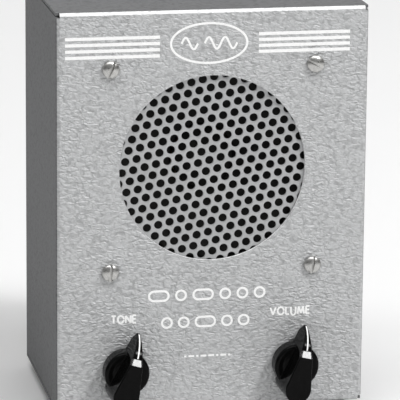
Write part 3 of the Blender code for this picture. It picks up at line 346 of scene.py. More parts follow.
FINISHES = {
    "hammertone_paint": PAINT,
    "cover_paint": COVER_PAINT,
    "grille_steel": GRILLE_PAINT,
    "nickel": NICKEL,
    "knob_bakelite": MOULDING,
    "rubber": plain_finish("moulded_rubber", (0.022, 0.022, 0.023), 0.62, grain=0.35, spread=0.3,
                           relief=0.04),
    "felt": plain_finish("pressed_felt", (0.09, 0.09, 0.09), 0.95, grain=0.4, spread=0.4, relief=0.2,
                         Sheen_Weight=0.3),
    "basket_steel": plain_finish("basket_plate", (0.40, 0.39, 0.36), 0.38, 1.0, grain=1.5, relief=0.01),
    # Black cone paper, made darker still as painted shade for the unlit inside seen through the grille holes.
    "cone_paper": plain_finish("cone_paper", (0.012, 0.011, 0.010), 0.95, grain=0.5, spread=0.4,
                               relief=0.12),
    "copper": bright_plate("coil_copper", (0.60, 0.27, 0.13), 0.3),
    "spider_cloth": woven("spider_cloth", (0.42, 0.27, 0.12)),
    "magnet_paint": plain_finish("magnet_enamel", (0.06, 0.09, 0.13), 0.4, grain=0.9, relief=0.04),
    "phenolic": plain_finish("phenolic_board", (0.16, 0.075, 0.035), 0.38, grain=0.3, spread=0.35,
                             stretch=(1.0, 4.0, 4.0)),
    "pot_metal": plain_finish("control_can", (0.58, 0.58, 0.57), 0.36, 1.0, grain=0.7, relief=0.01),
    "shaft_brass": BRASS,
    "steel": plain_finish("plated_steel", (0.60, 0.60, 0.58), 0.34, 1.0, grain=0.6, relief=0.01),
    "aluminium": plain_finish("chassis_aluminium", (0.72, 0.72, 0.73), 0.38, 1.0, grain=0.4, relief=0.01,
                              stretch=(0.2, 1.0, 1.0)),
    "valve_glass": GLASS,
    "lamination": laminations(),
    "winding_paper": plain_finish("winding_wrap", (0.50, 0.36, 0.19), 0.55, grain=0.9, spread=0.2,
                                  relief=0.06, stretch=(1.0, 1.0, 6.0)),
    "capacitor_can": bright_plate("capacitor_can", (0.70, 0.71, 0.72), 0.28),
    "ceramic": plain_finish("vitreous_coat", (0.17, 0.23, 0.17), 0.5, grain=0.7, spread=0.3, relief=0.12),
    "wax_paper": plain_finish("waxed_paper", (0.62, 0.47, 0.22), 0.4, grain=1.2, spread=0.2, relief=0.05,
                              Subsurface_Weight=0.1),
    "resistor_brown": plain_finish("resistor_body", (0.20, 0.10, 0.05), 0.35, grain=0.5, spread=0.2),
    "lead_cloth": woven("lead_cloth", (0.50, 0.42, 0.10), thread=0.2),
}


def dress_frame():
    """Give every CAD node the finish of its slot, shaded smooth between its real edges."""
    slots = {row["node"]: row["material_slot"] for row in frame["record"]["subparts"]}
    for name, node in frame["nodes"].items():
        node.data.materials.clear()
        node.data.materials.append(FINISHES[slots[name]])
        node.data.shade_smooth()
        node.data.set_sharp_from_angle(angle=math.radians(32))


# ---- mesh helpers


def to_object(name, bm, location=CASE_ORIGIN, rotation=UPRIGHT, finish=None, smooth=35.0):
    """Turn a bmesh drawn in millimetres into a named object in metres."""
    bmesh.ops.remove_doubles(bm, verts=bm.verts, dist=0.0005)
    bmesh.ops.recalc_face_normals(bm, faces=bm.faces)
    bmesh.ops.scale(bm, vec=(MM, MM, MM), verts=bm.verts)
    mesh = bpy.data.meshes.new(name)
    bm.to_mesh(mesh)
    bm.free()
    mesh.shade_smooth()
    mesh.set_sharp_from_angle(angle=math.radians(smooth))
    if finish is not None:
        mesh.materials.append(finish)
    made = bpy.data.objects.new(name, mesh)
    made.location = location
    made.rotation_euler = rotation
    bpy.context.collection.objects.link(made)
    return made


def add_box(bm, low, high):
    """Box between two corners."""
    low = Vector(low)
    high = Vector(high)
    grow = Matrix.Diagonal((*(high - low), 1.0))
    return bmesh.ops.create_cube(bm, size=1.0, matrix=Matrix.Translation((low + high) / 2) @ grow)


def boxes(name, corners, location=CASE_ORIGIN, rotation=UPRIGHT, finish=None):
    bm = bmesh.new()
    for low, high in corners:
        add_box(bm, low, high)
    return to_object(name, bm, location, rotation, finish)


def draw_out(bm, points, step):
    """Extrude a closed outline of points by a step."""
    face = bm.faces.new([bm.verts.new(point) for point in points])
    drawn = bmesh.ops.extrude_face_region(bm, geom=[face])
    moved = [item for item in drawn["geom"] if isinstance(item, bmesh.types.BMVert)]
    bmesh.ops.translate(bm, vec=step, verts=moved)


def loft(bm, rings, ends=True):
    """Join rings of vertices one to the next, with the first and last filled or left open."""
    for back, ahead in zip(rings, rings[1:]):
        for here in range(len(back)):
            after = (here + 1) % len(back)
            bm.faces.new((back[here], back[after], ahead[after], ahead[here]))
    if ends:
        bm.faces.new(rings[0])
        bm.faces.new(rings[-1])


def extruded(name, outline, low, high, location, rotation, finish=None):
    """Flat outline in local X and Y, drawn out along local Z."""
    bm = bmesh.new()
    draw_out(bm, [(x, y, low) for x, y in outline], (0.0, 0.0, high - low))
    return to_object(name, bm, location, rotation, finish)


def turned(name, profile, sides, location, rotation, finish=None, ring=False, smooth=35.0):
    """Turn a profile of (radius, height) points about local Z."""
    bm = bmesh.new()
    points = [bm.verts.new((radius, 0.0, height)) for radius, height in profile]
    edges = [bm.edges.new(pair) for pair in zip(points, points[1:])]
    if ring:
        edges.append(bm.edges.new((points[-1], points[0])))
    bmesh.ops.spin(bm, geom=points + edges, axis=(0, 0, 1), cent=(0, 0, 0), dvec=(0, 0, 0),
                   angle=math.tau, steps=sides, use_merge=True, use_duplicate=False)
    return to_object(name, bm, location, rotation, finish, smooth)


def arc(cx, cy, radius, start, end, steps):
    """Points along an arc, angles in degrees."""
    turns = [math.radians(start + (end - start) * step / steps) for step in range(steps + 1)]
    return [(cx + radius * math.cos(turn), cy + radius * math.sin(turn)) for turn in turns]


def circle(radius, sides, center=(0.0, 0.0)):
    return arc(center[0], center[1], radius, 0.0, 360.0, sides)[:-1]


def rounded_rectangle(width, height, radius, steps=6):
    points = []
    for quarter, (sx, sy) in enumerate(((1, 1), (-1, 1), (-1, -1), (1, -1))):
        points += arc(sx * (width / 2 - radius), sy * (height / 2 - radius), radius,
                      90.0 * quarter, 90.0 * quarter + 90.0, steps)
    return points


def combine(target, tool, operation):
    modifier = target.modifiers.new(tool.name, "BOOLEAN")
    modifier.operation = operation
    modifier.solver = "EXACT"
    modifier.object = tool


def cut(target, tool):
    combine(target, tool, "DIFFERENCE")


def weld(target, tool):
    combine(target, tool, "UNION")


def drill(target, radius, sides, centers, low, high, rotation, location=CASE_ORIGIN):
    """Cut a row of round holes, drilled along local Z."""
    bm = bmesh.new()
    for center in centers:
        draw_out(bm, [(x, y, low) for x, y in circle(radius, sides, center)], (0.0, 0.0, high - low))
    cut(target, to_object("tool_drill", bm, location, rotation))


def soften(target, width, segments=2, angle=40.0):
    """Round every sharp edge by a small radius."""
    bevel = target.modifiers.new("soften", "BEVEL")
    bevel.width = width * MM
    bevel.segments = segments
    bevel.limit_method = "ANGLE"
    bevel.angle_limit = math.radians(angle)


def settle(target, smooth=35.0):
    """Apply the modifiers, drop the tools they used and set the shading."""
    bpy.context.view_layer.update()
    evaluated = target.evaluated_get(bpy.context.evaluated_depsgraph_get())
    mesh = bpy.data.meshes.new_from_object(evaluated)
    tools = {item.object for item in target.modifiers if item.type == "BOOLEAN"}
    target.modifiers.clear()
    target.data = mesh
    for tool in tools:
        bpy.data.objects.remove(tool, do_unlink=True)
    mesh.shade_smooth()
    mesh.set_sharp_from_angle(angle=math.radians(smooth))
    return target


def even_shading(target):
    """Keep large flat faces flat next to their rounded edges."""
    weighted = target.modifiers.new("even_shading", "WEIGHTED_NORMAL")
    weighted.keep_sharp = True
    weighted.weight = 80
    return target


def stands_for(piece, slot, *nodes, body=BODY):
    """Let a finished piece ride a body in place of CAD nodes; the slot it is given is not used."""
    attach(piece, body)
    if nodes:
        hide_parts(*nodes)
    return piece


# ---- case


CASE_CORNERS = [(side, level, lift) for side in (-1, 1) for level, lift in ((0.0, 1), (CASE_HEIGHT, -1))]
PANEL_SCREW_HOLE = 2.2
SHAFT_BUSH_HOLE = 5.05
FOOT_HOLE = 2.6
CHASSIS_SCREW_HOLE = 2.0
COVER_SCREW_HOLE = 2.1
CORD_HOLE = 5.2
TERMINAL_HOLE = 3.2
TAB_HOLE = 1.7
TAB_WIDTH = 14.0
TAB_WELD_START, TAB_WELD_END = SHELL_END - 12.0, SHELL_END - 4.0
TAB_RISE = 4.5
VENT_WIDTH, VENT_HEIGHT, VENT_CORNER = 3.4, 26.0, 1.69
FLANGE_SHARE = 0.85
BEND_SHARE = 0.25


def bent_box(name, low, high, bend_depth, radius, segments, finish=None):
    """Box with rounded bends where its face at one depth meets its sides."""
    bm = bmesh.new()
    add_box(bm, low, high)
    bends = [edge for edge in bm.edges if all(abs(vert.co.y - bend_depth) < GAP for vert in edge.verts)]
    bmesh.ops.bevel(bm, geom=bends, offset=radius, segments=segments, affect="EDGES", profile=0.5)
    return to_object(name, bm, finish=finish)


def corner_cutter(name, inset, near, far, front, back):
    """Boxes that cut the four corners, from the edge inwards, between two levels and two depths."""
    corners = []
    for side, level, lift in CASE_CORNERS:
        edge = side * CASE_WIDTH / 2
        x_pair = sorted((edge + side, edge - side * inset))
        z_pair = sorted((level + lift * near, level + lift * far))
        corners.append(((x_pair[0], front, z_pair[0]), (x_pair[1], back, z_pair[1])))
    return boxes(name, corners)


def tab_brackets():
    """Joggled brackets that take the cover screws."""
    reach, _, inset = COVER_SCREW_SPOTS["bl"]
    back = COVER_FACE - GAP
    web = SHEET + GAP
    outline = [(TAB_WELD_START, SHEET * 0.5), (TAB_WELD_END, SHEET * 0.5), (TAB_WELD_END, web), (back, web),
               (back, inset + TAB_RISE), (back - SHEET, inset + TAB_RISE), (back - SHEET, web + SHEET),
               (TAB_WELD_START, web + SHEET)]
    bm = bmesh.new()
    for side, level, lift in CASE_CORNERS:
        start = side * abs(reach) - TAB_WIDTH / 2
        points = [(start, depth, level + lift * rise) for depth, rise in outline]
        draw_out(bm, points, (TAB_WIDTH, 0.0, 0.0))
    tabs = to_object("tool_tabs", bm)
    drill(tabs, TAB_HOLE, 20, on_panel(COVER_SCREW_SPOTS.values()), -CASE_DEPTH, -SHELL_END, FACING_FRONT)
    return settle(tabs)


def paint_case(shell):
    """Thick paint on the panel, darker on the flanges as painted shade too, and a painted highlight on the top
    bend and the opening.
    """
    for finish in (FLANGE_SHADE_PAINT, HIGHLIGHT_PAINT):
        shell.data.materials.append(finish)
    center = Vector((SPEAKER_X, SPEAKER_Z))
    for face in shell.data.polygons:
        normal = face.normal
        spot = Vector((face.center.x, face.center.z)) / MM
        in_opening = abs(normal.y) < BEND_SHARE and (spot - center).length < OPENING_RADIUS + SHEET
        # Painted highlight: near-white paint on the top bend and on the wall of the opening.
        if in_opening or (normal.z > BEND_SHARE and normal.y < -BEND_SHARE):
            face.material_index = 2
        # Darker flange paint, also painted shade for the flanges; faces deeper than the bend, as in the corner
        # notches, get it as painted shade.
        elif max(abs(normal.x), abs(normal.z)) > FLANGE_SHARE or face.center.y / MM > BEND_RADIUS:
            face.material_index = 1


def front_case():
    """Panel and flanges bent from one sheet."""
    shell = bent_box("case_front", (-CASE_WIDTH / 2, 0, 0), (CASE_WIDTH / 2, SHELL_END, CASE_HEIGHT),
                     0.0, BEND_RADIUS, 10, PAINT)
    cut(shell, bent_box("tool_inside", (-INNER_X, SHEET, SHEET), (INNER_X, CASE_DEPTH, INNER_TOP),
                        SHEET, INNER_BEND, 4))
    cut(shell, corner_cutter("tool_slits", SHEET + GAP, SHEET, SHEET + SEAM, BEND_RADIUS, CASE_DEPTH))
    cut(shell, corner_cutter("tool_notches", CORNER_NOTCH, -1.0, CORNER_NOTCH + SEAM,
                             -1.0, BEND_RADIUS + GAP))
    weld(shell, tab_brackets())
    face = (-2 * SHEET, SHEET, FACING_FRONT)
    drill(shell, OPENING_RADIUS, 128, [(SPEAKER_X, SPEAKER_Z)], *face)
    drill(shell, PANEL_SCREW_HOLE, 24, on_panel(SCREW_SPOTS.values()), *face)
    drill(shell, SHAFT_BUSH_HOLE, 32, KNOB_SPOTS.values(), *face)
    floor = (-SHEET, 2 * SHEET, UPRIGHT)
    feet = [middle("foot_" + end + "_" + side)[:2] for end in ENDS for side in SIDES]
    drill(shell, FOOT_HOLE, 24, feet, *floor)
    drill(shell, CHASSIS_SCREW_HOLE, 20, [middle("chassis_screw_" + side)[:2] for side in SIDES], *floor)
    soften(shell, 0.16)
    settle(shell)
    paint_case(shell)
    even_shading(shell)
    stands_for(shell, "hammertone_paint", "cabinet_shell")


def back_case():
    """Shallow rear cover with two banks of vent slots."""
    cover = bent_box("case_back", (-CASE_WIDTH / 2, COVER_START, 0),
                     (CASE_WIDTH / 2, CASE_DEPTH, CASE_HEIGHT), CASE_DEPTH, BEND_RADIUS, 8, COVER_PAINT)
    hollow = ((-INNER_X, COVER_START - 1.0, SHEET), (INNER_X, COVER_FACE, INNER_TOP))
    cut(cover, boxes("tool_hollow", [hollow]))
    bm = bmesh.new()
    for bank in VENT_BANKS:
        for step in range(VENT_SLOTS):
            x = (step - (VENT_SLOTS - 1) / 2) * VENT_PITCH
            outline = rounded_rectangle(VENT_WIDTH, VENT_HEIGHT, VENT_CORNER)
            draw_out(bm, [(x + px, COVER_FACE - 1.0, bank + pz) for px, pz in outline], (0, 3 * SHEET, 0))
    cut(cover, to_object("tool_vents", bm))
    face = (-CASE_DEPTH - 1.0, -COVER_FACE + 1.0, FACING_FRONT)
    drill(cover, COVER_SCREW_HOLE, 20, on_panel(COVER_SCREW_SPOTS.values()), *face)
    drill(cover, CORD_HOLE, 32, on_panel([middle("cord_grommet")]), *face)
    drill(cover, TERMINAL_HOLE, 24, on_panel(middle("terminal_screw_" + side) for side in SIDES), *face)
    soften(cover, 0.15)
    settle(cover)
    even_shading(cover)
    stands_for(cover, "cover_paint", "back_cover")


# ---- printing on the panel


INK_LIFT = 0.05
INK_CENTER = -1.9
STRIPES = {"stripes_left": (-60.0, -21.85, 154.6, 2.53), "stripes_right": (18.3, 55.7, 154.9, 2.4)}
STRIPE_WIDTH = 1.3
EMBLEM_HEIGHT = 151.65
EMBLEM_REACH = (15.5, 8.05)
TONE_BURSTS = ((-11.2, -4.6, 1.0), (-1.8, 11.4, 2.0))
TONE_SWING = 2.4
TONE_STROKE = 0.85
KEYED_ROWS = {"keyed_row_upper": (-26.2, 22.4, 48.0, (2, 1, 2, 1, 1, 1)),
              "keyed_row_lower": (-20.8, 15.9, 36.6, (1, 1, 2, 1, 1))}
ROW_TALL = 4.9
OUTLINE_STROKE = 0.9
SMALL_ROW_Z = 22.1
SMALL_ROW_REACH = 9.2
SMALL_DOT, SMALL_DASH, SMALL_GAP, SMALL_STROKE = 0.9, 2.4, 0.85, 0.8
CONTROL_LABELS = {"TONE": (-41.5, -30.7, 37.0), "VOLUME": (24.2, 41.3, 37.7)}
LABEL_TALL = 3.8
LABEL_STROKE = 0.75
LETTER_GAP = 0.34
STROKE_RISE = 0.002
LETTERS = {
    "T": (0.75, [[(0.0, 1.0), (1.0, 1.0)], [(0.5, 1.0), (0.5, 0.0)]]),
    "O": (1.05, [arc(0.5, 0.5, 0.5, 0, 350, 35)]),
    "N": (0.85, [[(0.0, 0.0), (0.0, 1.0)], [(0.0, 1.0), (1.0, 0.0)], [(1.0, 0.0), (1.0, 1.0)]]),
    "E": (0.6, [[(0.0, 0.0), (0.0, 1.0)], [(0.0, 1.0), (1.0, 1.0)], [(0.0, 0.52), (0.9, 0.52)],
                [(0.0, 0.0), (1.0, 0.0)]]),
    "V": (0.9, [[(0.0, 1.0), (0.5, 0.0)], [(0.5, 0.0), (1.0, 1.0)]]),
    "L": (0.55, [[(0.0, 1.0), (0.0, 0.0)], [(0.0, 0.0), (1.0, 0.0)]]),
    "U": (0.8, [[(0.0, 1.0), *arc(0.5, 0.36, 0.5, 180, 360, 14), (1.0, 1.0)]]),
    "M": (1.1, [[(0.0, 0.0), (0.14, 1.0)], [(0.14, 1.0), (0.5, 0.1)], [(0.5, 0.1), (0.86, 1.0)],
                [(0.86, 1.0), (1.0, 0.0)]]),
}


def ink_ribbon(bm, points, width, closed=False, lift=INK_LIFT):
    """Flat ribbon of ink of even width along a line of (x, height) points."""
    line = [Vector(point) for point in points]
    count = len(line)
    rings = []
    for here, point in enumerate(line):
        before = line[here - 1] if here or closed else point
        after = line[(here + 1) % count] if here < count - 1 or closed else point
        along = (after - before).normalized()
        across = Vector((-along.y, along.x)) * width / 2
        near, far = point - across, point + across
        rings.append([bm.verts.new((spot.x, depth, spot.y)) for spot, depth in
                      ((near, 0.0), (far, 0.0), (far, -lift), (near, -lift))])
    loft(bm, rings + rings[:1] if closed else rings, ends=not closed)


def ink_piece(name, bm):
    stands_for(to_object(name, bm, finish=INK), None)


def speed_lines():
    """Four stripes on each side of the emblem."""
    for name, (start, end, top, pitch) in STRIPES.items():
        bm = bmesh.new()
        for step in range(4):
            level = top - step * pitch
            ink_ribbon(bm, [(start, level), (end, level)], STRIPE_WIDTH)
        ink_piece(name, bm)


def emblem():
    """Plain oval round one keyed tone: a dot and a dash of sine wave."""
    bm = bmesh.new()
    wide, tall = EMBLEM_REACH
    outline = [(INK_CENTER + x * wide, EMBLEM_HEIGHT + z * tall) for x, z in circle(1.0, 72)]
    ink_ribbon(bm, outline, OUTLINE_STROKE, closed=True)
    for near, far, cycles in TONE_BURSTS:
        start, end = INK_CENTER + near, INK_CENTER + far
        steps = int(cycles * 16)
        burst = [(start + (end - start) * step / steps,
                  EMBLEM_HEIGHT + TONE_SWING * math.sin(math.tau * cycles * step / steps))
                 for step in range(steps + 1)]
        ink_ribbon(bm, burst, TONE_STROKE)
    ink_piece("emblem", bm)


def keyed_row(name, start, end, height, pattern):
    """Outlined dots and dashes of a code row, spread evenly between two ends."""
    tall = ROW_TALL - OUTLINE_STROKE
    start += OUTLINE_STROKE / 2
    gap = (end - OUTLINE_STROKE / 2 - start - sum(pattern) * tall) / (len(pattern) - 1)
    bm = bmesh.new()
    for count in pattern:
        wide = count * tall
        outline = rounded_rectangle(wide, tall, tall / 2 - 0.01, steps=12)
        ink_ribbon(bm, [(start + wide / 2 + x, height + z) for x, z in outline], OUTLINE_STROKE, closed=True)
        start += wide + gap
    ink_piece(name, bm)


def small_row():
    """Short line of dots and dashes under the rows."""
    bm = bmesh.new()
    x = INK_CENTER - SMALL_ROW_REACH
    for mark in ".-.--.-.":
        length = SMALL_DOT if mark == "." else SMALL_DASH
        ink_ribbon(bm, [(x, SMALL_ROW_Z), (x + length, SMALL_ROW_Z)], SMALL_STROKE)
        x += length + SMALL_GAP
    ink_piece("small_row", bm)


def control_label(word, start, end, height):
    """Control's function in plain single-stroke capitals between two ends, each stroke over the last."""
    total = sum(LETTERS[letter][0] for letter in word) + LETTER_GAP * (len(word) - 1)
    unit = (end - start - LABEL_STROKE) / total
    rise = LABEL_TALL - LABEL_STROKE
    x = start + LABEL_STROKE / 2
    bm = bmesh.new()
    lift = INK_LIFT
    for letter in word:
        wide, lines = LETTERS[letter]
        for line in lines:
            points = [(x + px * wide * unit, height + LABEL_STROKE / 2 + pz * rise) for px, pz in line]
            ink_ribbon(bm, points, LABEL_STROKE, lift=lift)
            lift += STROKE_RISE
        x += (wide + LETTER_GAP) * unit
    ink_piece("label_" + word.lower(), bm)


def printing():
    speed_lines()
    emblem()
    for name, row in KEYED_ROWS.items():
        keyed_row(name, *row)
    small_row()
    for word, ends in CONTROL_LABELS.items():
        control_label(word, *ends)


# ---- perforated grille


HOLE_RADIUS = 1.7
HOLE_PITCH = 4.7625
HOLE_ROW_TILT = 13.3
FIRST_HOLE = Vector((2.19, -0.44))
HOLE_SIDES = 24
CELL_REACH = HOLE_PITCH / math.sqrt(3.0)
ROLL_WIDTH, ROLL_STEP = 0.16, 0.04
ROLL_DEPTH, PUNCH_DEPTH = 0.06, 0.2
SCREW_CLEARANCE = 5.2
ROWS_EACH_WAY = 24
GRILLE_WIDTH, GRILLE_THICKNESS, _ = spans("speaker_grille")


def heading(turn):
    return Vector((math.cos(turn), math.sin(turn)))


def grille_cell(bm, center):
    """One six-sided cell of the sheet with its punched hole, slightly rolled over at the front."""
    first = math.radians(HOLE_ROW_TILT + 30.0)
    corners = [heading(first + math.tau * k / 6) * CELL_REACH for k in range(6)]
    steps = HOLE_SIDES // 6
    border = [corners[here].lerp(corners[(here + 1) % 6], step / steps)
              for here in range(6) for step in range(steps)]
    turns = [math.atan2(spot.y, spot.x) for spot in border]
    rings = []
    for radius, level in ((None, 0.0), (HOLE_RADIUS + ROLL_WIDTH, 0.0),
                          (HOLE_RADIUS + ROLL_STEP, -ROLL_DEPTH), (HOLE_RADIUS, -PUNCH_DEPTH),
                          (HOLE_RADIUS, -GRILLE_THICKNESS), (None, -GRILLE_THICKNESS)):
        spots = border if radius is None else [heading(turn) * radius for turn in turns]
        rings.append([bm.verts.new((center.x + spot.x, center.y + spot.y, level)) for spot in spots])
    loft(bm, rings, ends=False)


def grille():
    """Perforated sheet, one cell at a time, left out round the four screws."""
    half = GRILLE_WIDTH / 2 - (CELL_REACH + 0.1)
    tilt = math.radians(HOLE_ROW_TILT)
    along = heading(tilt) * HOLE_PITCH
    across = heading(tilt + math.radians(60)) * HOLE_PITCH
    screws = [Vector((x - SPEAKER_X, height - SPEAKER_Z)) for x, height in on_panel(SCREW_SPOTS.values())]
    bm = bmesh.new()
    places = range(-ROWS_EACH_WAY, ROWS_EACH_WAY + 1)
    for row in places:
        for column in places:
            spot = FIRST_HOLE + row * across + column * along
            clear = all((spot - screw).length > SCREW_CLEARANCE for screw in screws)
            if max(abs(spot.x), abs(spot.y)) < half and clear:
                grille_cell(bm, spot)
    bmesh.ops.remove_doubles(bm, verts=bm.verts, dist=0.002)
    close_rim(bm)
    sheet = to_object("grille_sheet", bm, place(SPEAKER_X, depths("speaker_grille")[0], SPEAKER_Z),
                      FACING_FRONT, GRILLE_PAINT)
    stands_for(sheet, "grille_steel", "speaker_grille")


def close_rim(bm):
    """Wall between the front and rear edges that are left open round the sheet."""
    rim = {}
    for edge in [edge for edge in bm.edges if len(edge.link_faces) == 1]:
        center = (edge.verts[0].co + edge.verts[1].co) / 2
        rim.setdefault((round(center.x, 1), round(center.y, 1)), []).append(edge)
    for pair in rim.values():
        if len(pair) == 2:
            bmesh.ops.bridge_loops(bm, edges=pair)


# ---- screws


THREAD_PITCH = 0.8
THREAD_DEPTH = 0.2
PANEL_SCREW_TURNS = {"tl": 65.0, "tr": -27.0, "bl": 85.0, "br": 79.0}
COVER_SCREW_TURNS = {"tl": 15.0, "tr": 52.0, "bl": -20.0, "br": 80.0}
TERMINAL_TURNS = {"left": 40.0, "right": -15.0}


def round_head(name, node, location, rotation, head, height, shank, length, turn, slot=1.0,
               finish=NICKEL, slot_name="nickel"):
    """Round-head slotted screw with a rolled edge, driver slot and a threaded-looking shank."""
    profile = [(0.0, height)]
    for step in range(1, 11):
        angle = math.radians(84) * step / 10
        profile.append((head * math.sin(angle), height * (0.3 + 0.7 * math.cos(angle))))
    profile += [(head, height * 0.22), (head - 0.1, GAP), (shank, GAP)]
    level = 0.0
    while level > -length + THREAD_PITCH:
        profile += [(shank, level), (shank - THREAD_DEPTH, level - THREAD_PITCH / 2)]
        level -= THREAD_PITCH
    profile += [(shank - THREAD_DEPTH, -length), (0.0, -length)]
    screw = turned(name, profile, 40, location, rotation, finish)
    groove = ((-head - 1, -slot / 2, height * 0.42), (head + 1, slot / 2, height + 1))
    tool = boxes("tool_slot", [groove], location)
    tilted = Matrix.Rotation(rotation[0], 3, "X") @ Matrix.Rotation(math.radians(turn), 3, "Z")
    tool.rotation_euler = tilted.to_euler()
    cut(screw, tool)
    soften(screw, 0.1)
    settle(screw)
    stands_for(screw, slot_name, node)


def fasteners():
    for corner, (x, _, height) in SCREW_SPOTS.items():
        node = "speaker_screw_" + corner
        round_head("panel_screw_" + corner, node, place(x, 0, height), FACING_FRONT, head=3.6, height=2.4,
                   shank=1.7, length=depths(node)[1], turn=PANEL_SCREW_TURNS[corner])
    for corner, (x, _, height) in COVER_SCREW_SPOTS.items():
        round_head("rear_screw_" + corner, "cover_screw_" + corner, place(x, CASE_DEPTH, height), FACING_BACK,
                   head=3.4, height=2.0, shank=1.4, length=6.0, turn=COVER_SCREW_TURNS[corner], slot=0.9)
    for side in SIDES:
        x, depth, _ = middle("chassis_screw_" + side)
        round_head("floor_screw_" + side, "chassis_screw_" + side, place(x, depth, 0), DOWNWARD,
                   head=3.2, height=1.8, shank=1.5, length=7.0, turn=20.0, slot=0.9)


# ---- knobs


KNOB_TILTS = {"tone": math.radians(17.0), "volume": math.radians(13.0)}
KNOB_TOP = -depths("volume_knob")[0]
KNOB_TIP = 17.0
KNOB_TAIL = 13.0
KNOB_HALF_WIDTH = 6.2
KNOB_TIP_HALF_WIDTH = 0.7
KNOB_CROWN_SHARE = 0.86
KNOB_EDGE_ROUND = 0.45
KNOB_CREASE = 6.4
KNOB_FACET_END = 9.2
KNOB_FACET_DROP = 1.92
KNOB_TIP_TOP = 5.4
KNOB_NOSE_POWER = 1.5
KNOB_LOW = 1.5
KNOB_LIFT_START = 14.0
KNOB_TIP_LIFT = 2.9
SKIRT_RADIUS = 9.2
SKIRT_TOP = 8.0
SKIRT_ROUND = 1.3
SKIRT_LOW = 0.6
RECESS_RADIUS, RECESS_TOP = 8.0, 3.6
SHAFT_RADIUS, SHAFT_END = 3.5, 12.9
SETSCREW_RADIUS, SETSCREW_HEIGHT = 2.1, 8.6
LINE_HALF_WIDTH = 0.27
LINE_RAISE = 0.03
LINE_DEPTH = 0.4


def knob_half_width(u):
    """Half width of the bar: round tail and straight taper to the nose."""
    shoulder = KNOB_HALF_WIDTH - KNOB_TAIL
    if u < shoulder:
        return math.sqrt(max(0.16, KNOB_HALF_WIDTH ** 2 - (u - shoulder) ** 2))
    return KNOB_HALF_WIDTH + (KNOB_TIP_HALF_WIDTH - KNOB_HALF_WIDTH) * (u - shoulder) / (KNOB_TIP - shoulder)


def knob_ridge(u):
    """Top of the bar: flat, a short facet, then a convex fall to the tip."""
    if u <= KNOB_CREASE:
        return KNOB_TOP
    if u <= KNOB_FACET_END:
        return KNOB_TOP - KNOB_FACET_DROP * (u - KNOB_CREASE) / (KNOB_FACET_END - KNOB_CREASE)
    along = min(1.0, (u - KNOB_FACET_END) / (KNOB_TIP - KNOB_FACET_END))
    rise = KNOB_TOP - KNOB_FACET_DROP - KNOB_TIP_TOP
    return KNOB_TIP_TOP + rise * (1.0 - along ** KNOB_NOSE_POWER) ** (1.0 / KNOB_NOSE_POWER)


def knob_underside(u):
    """Underside of the bar: level, rising under the tip."""
    lift = max(0.0, u - KNOB_LIFT_START) / (KNOB_TIP - KNOB_LIFT_START)
    return KNOB_LOW + KNOB_TIP_LIFT * lift


def nose_stations(count, end):
    """Stations from the facet to the tip, closer near the tip."""
    reach = end - KNOB_FACET_END
    return [KNOB_FACET_END + reach * math.sin(math.radians(90) * step / count) for step in range(count + 1)]


def knob_matrix(location, rotation):
    """Placement of a knob: local Y runs along its pointer and local Z out of the panel."""
    return (Matrix.Translation(location) @ Matrix.Rotation(rotation[1], 4, "Y")
            @ Matrix.Rotation(rotation[0], 4, "X"))


def knob_bar(location, rotation):
    """Pointer bar as a loft of trapezoid sections with rounded crown edges."""
    tail = [-KNOB_TAIL + KNOB_HALF_WIDTH * (1 - math.cos(math.radians(90) * step / 8)) for step in range(8)]
    body = [-KNOB_TAIL + KNOB_HALF_WIDTH + step * 2.2 for step in range(6)]
    facet = [KNOB_CREASE, (KNOB_CREASE + KNOB_FACET_END) / 2]
    bm = bmesh.new()
    rings = []
    for u in tail + body + facet + nose_stations(14, KNOB_TIP):
        foot = knob_half_width(u)
        crown = foot * KNOB_CROWN_SHARE
        corner = min(KNOB_EDGE_ROUND, crown * 0.6)
        edge = arc(crown - corner, knob_ridge(u) - corner, corner, 10, 90, 4)
        right = [(foot, knob_underside(u)), *edge]
        section = right + [(-x, z) for x, z in reversed(right)]
        rings.append([bm.verts.new((across, u, height)) for across, height in section])
    loft(bm, rings)
    return to_object("tool_bar", bm, location, rotation)


def pointer_line(name, location, rotation):
    """White line let into the ridge of the nose, from the tip to the facet."""
    bm = bmesh.new()
    rings = []
    half = LINE_HALF_WIDTH
    for u in nose_stations(24, KNOB_TIP - 0.1):
        spot = Vector((0.0, u, knob_ridge(u)))
        slope = (spot - Vector((0.0, u - 0.02, knob_ridge(u - 0.02)))).normalized()
        out = Vector((0.0, -slope.z, slope.y)) if slope.z < 0 else Vector((0.0, 0.0, 1.0))
        lift = spot + out * LINE_RAISE
        sink = spot - out * LINE_DEPTH
        rings.append([bm.verts.new((x, point.y, point.z)) for x, point in
                      ((-half, sink), (half, sink), (half, lift), (-half, lift))])
    loft(bm, rings)
    stands_for(to_object(name + "_pointer_line", bm, location, rotation, INK), None, body=name + "_control")


def polish_facet(body, matrix):
    """Give the short facet between the flat of the bar and its nose a brighter polish."""
    body.data.materials.append(FACET_MOULDING)
    to_knob = matrix.inverted()
    for face in body.data.polygons:
        spot = to_knob @ (body.matrix_world @ face.center)
        on_facet = KNOB_CREASE < spot.y / MM < KNOB_FACET_END
        if on_facet and spot.z / MM > KNOB_TOP - KNOB_FACET_DROP - 0.3:
            face.material_index = 1


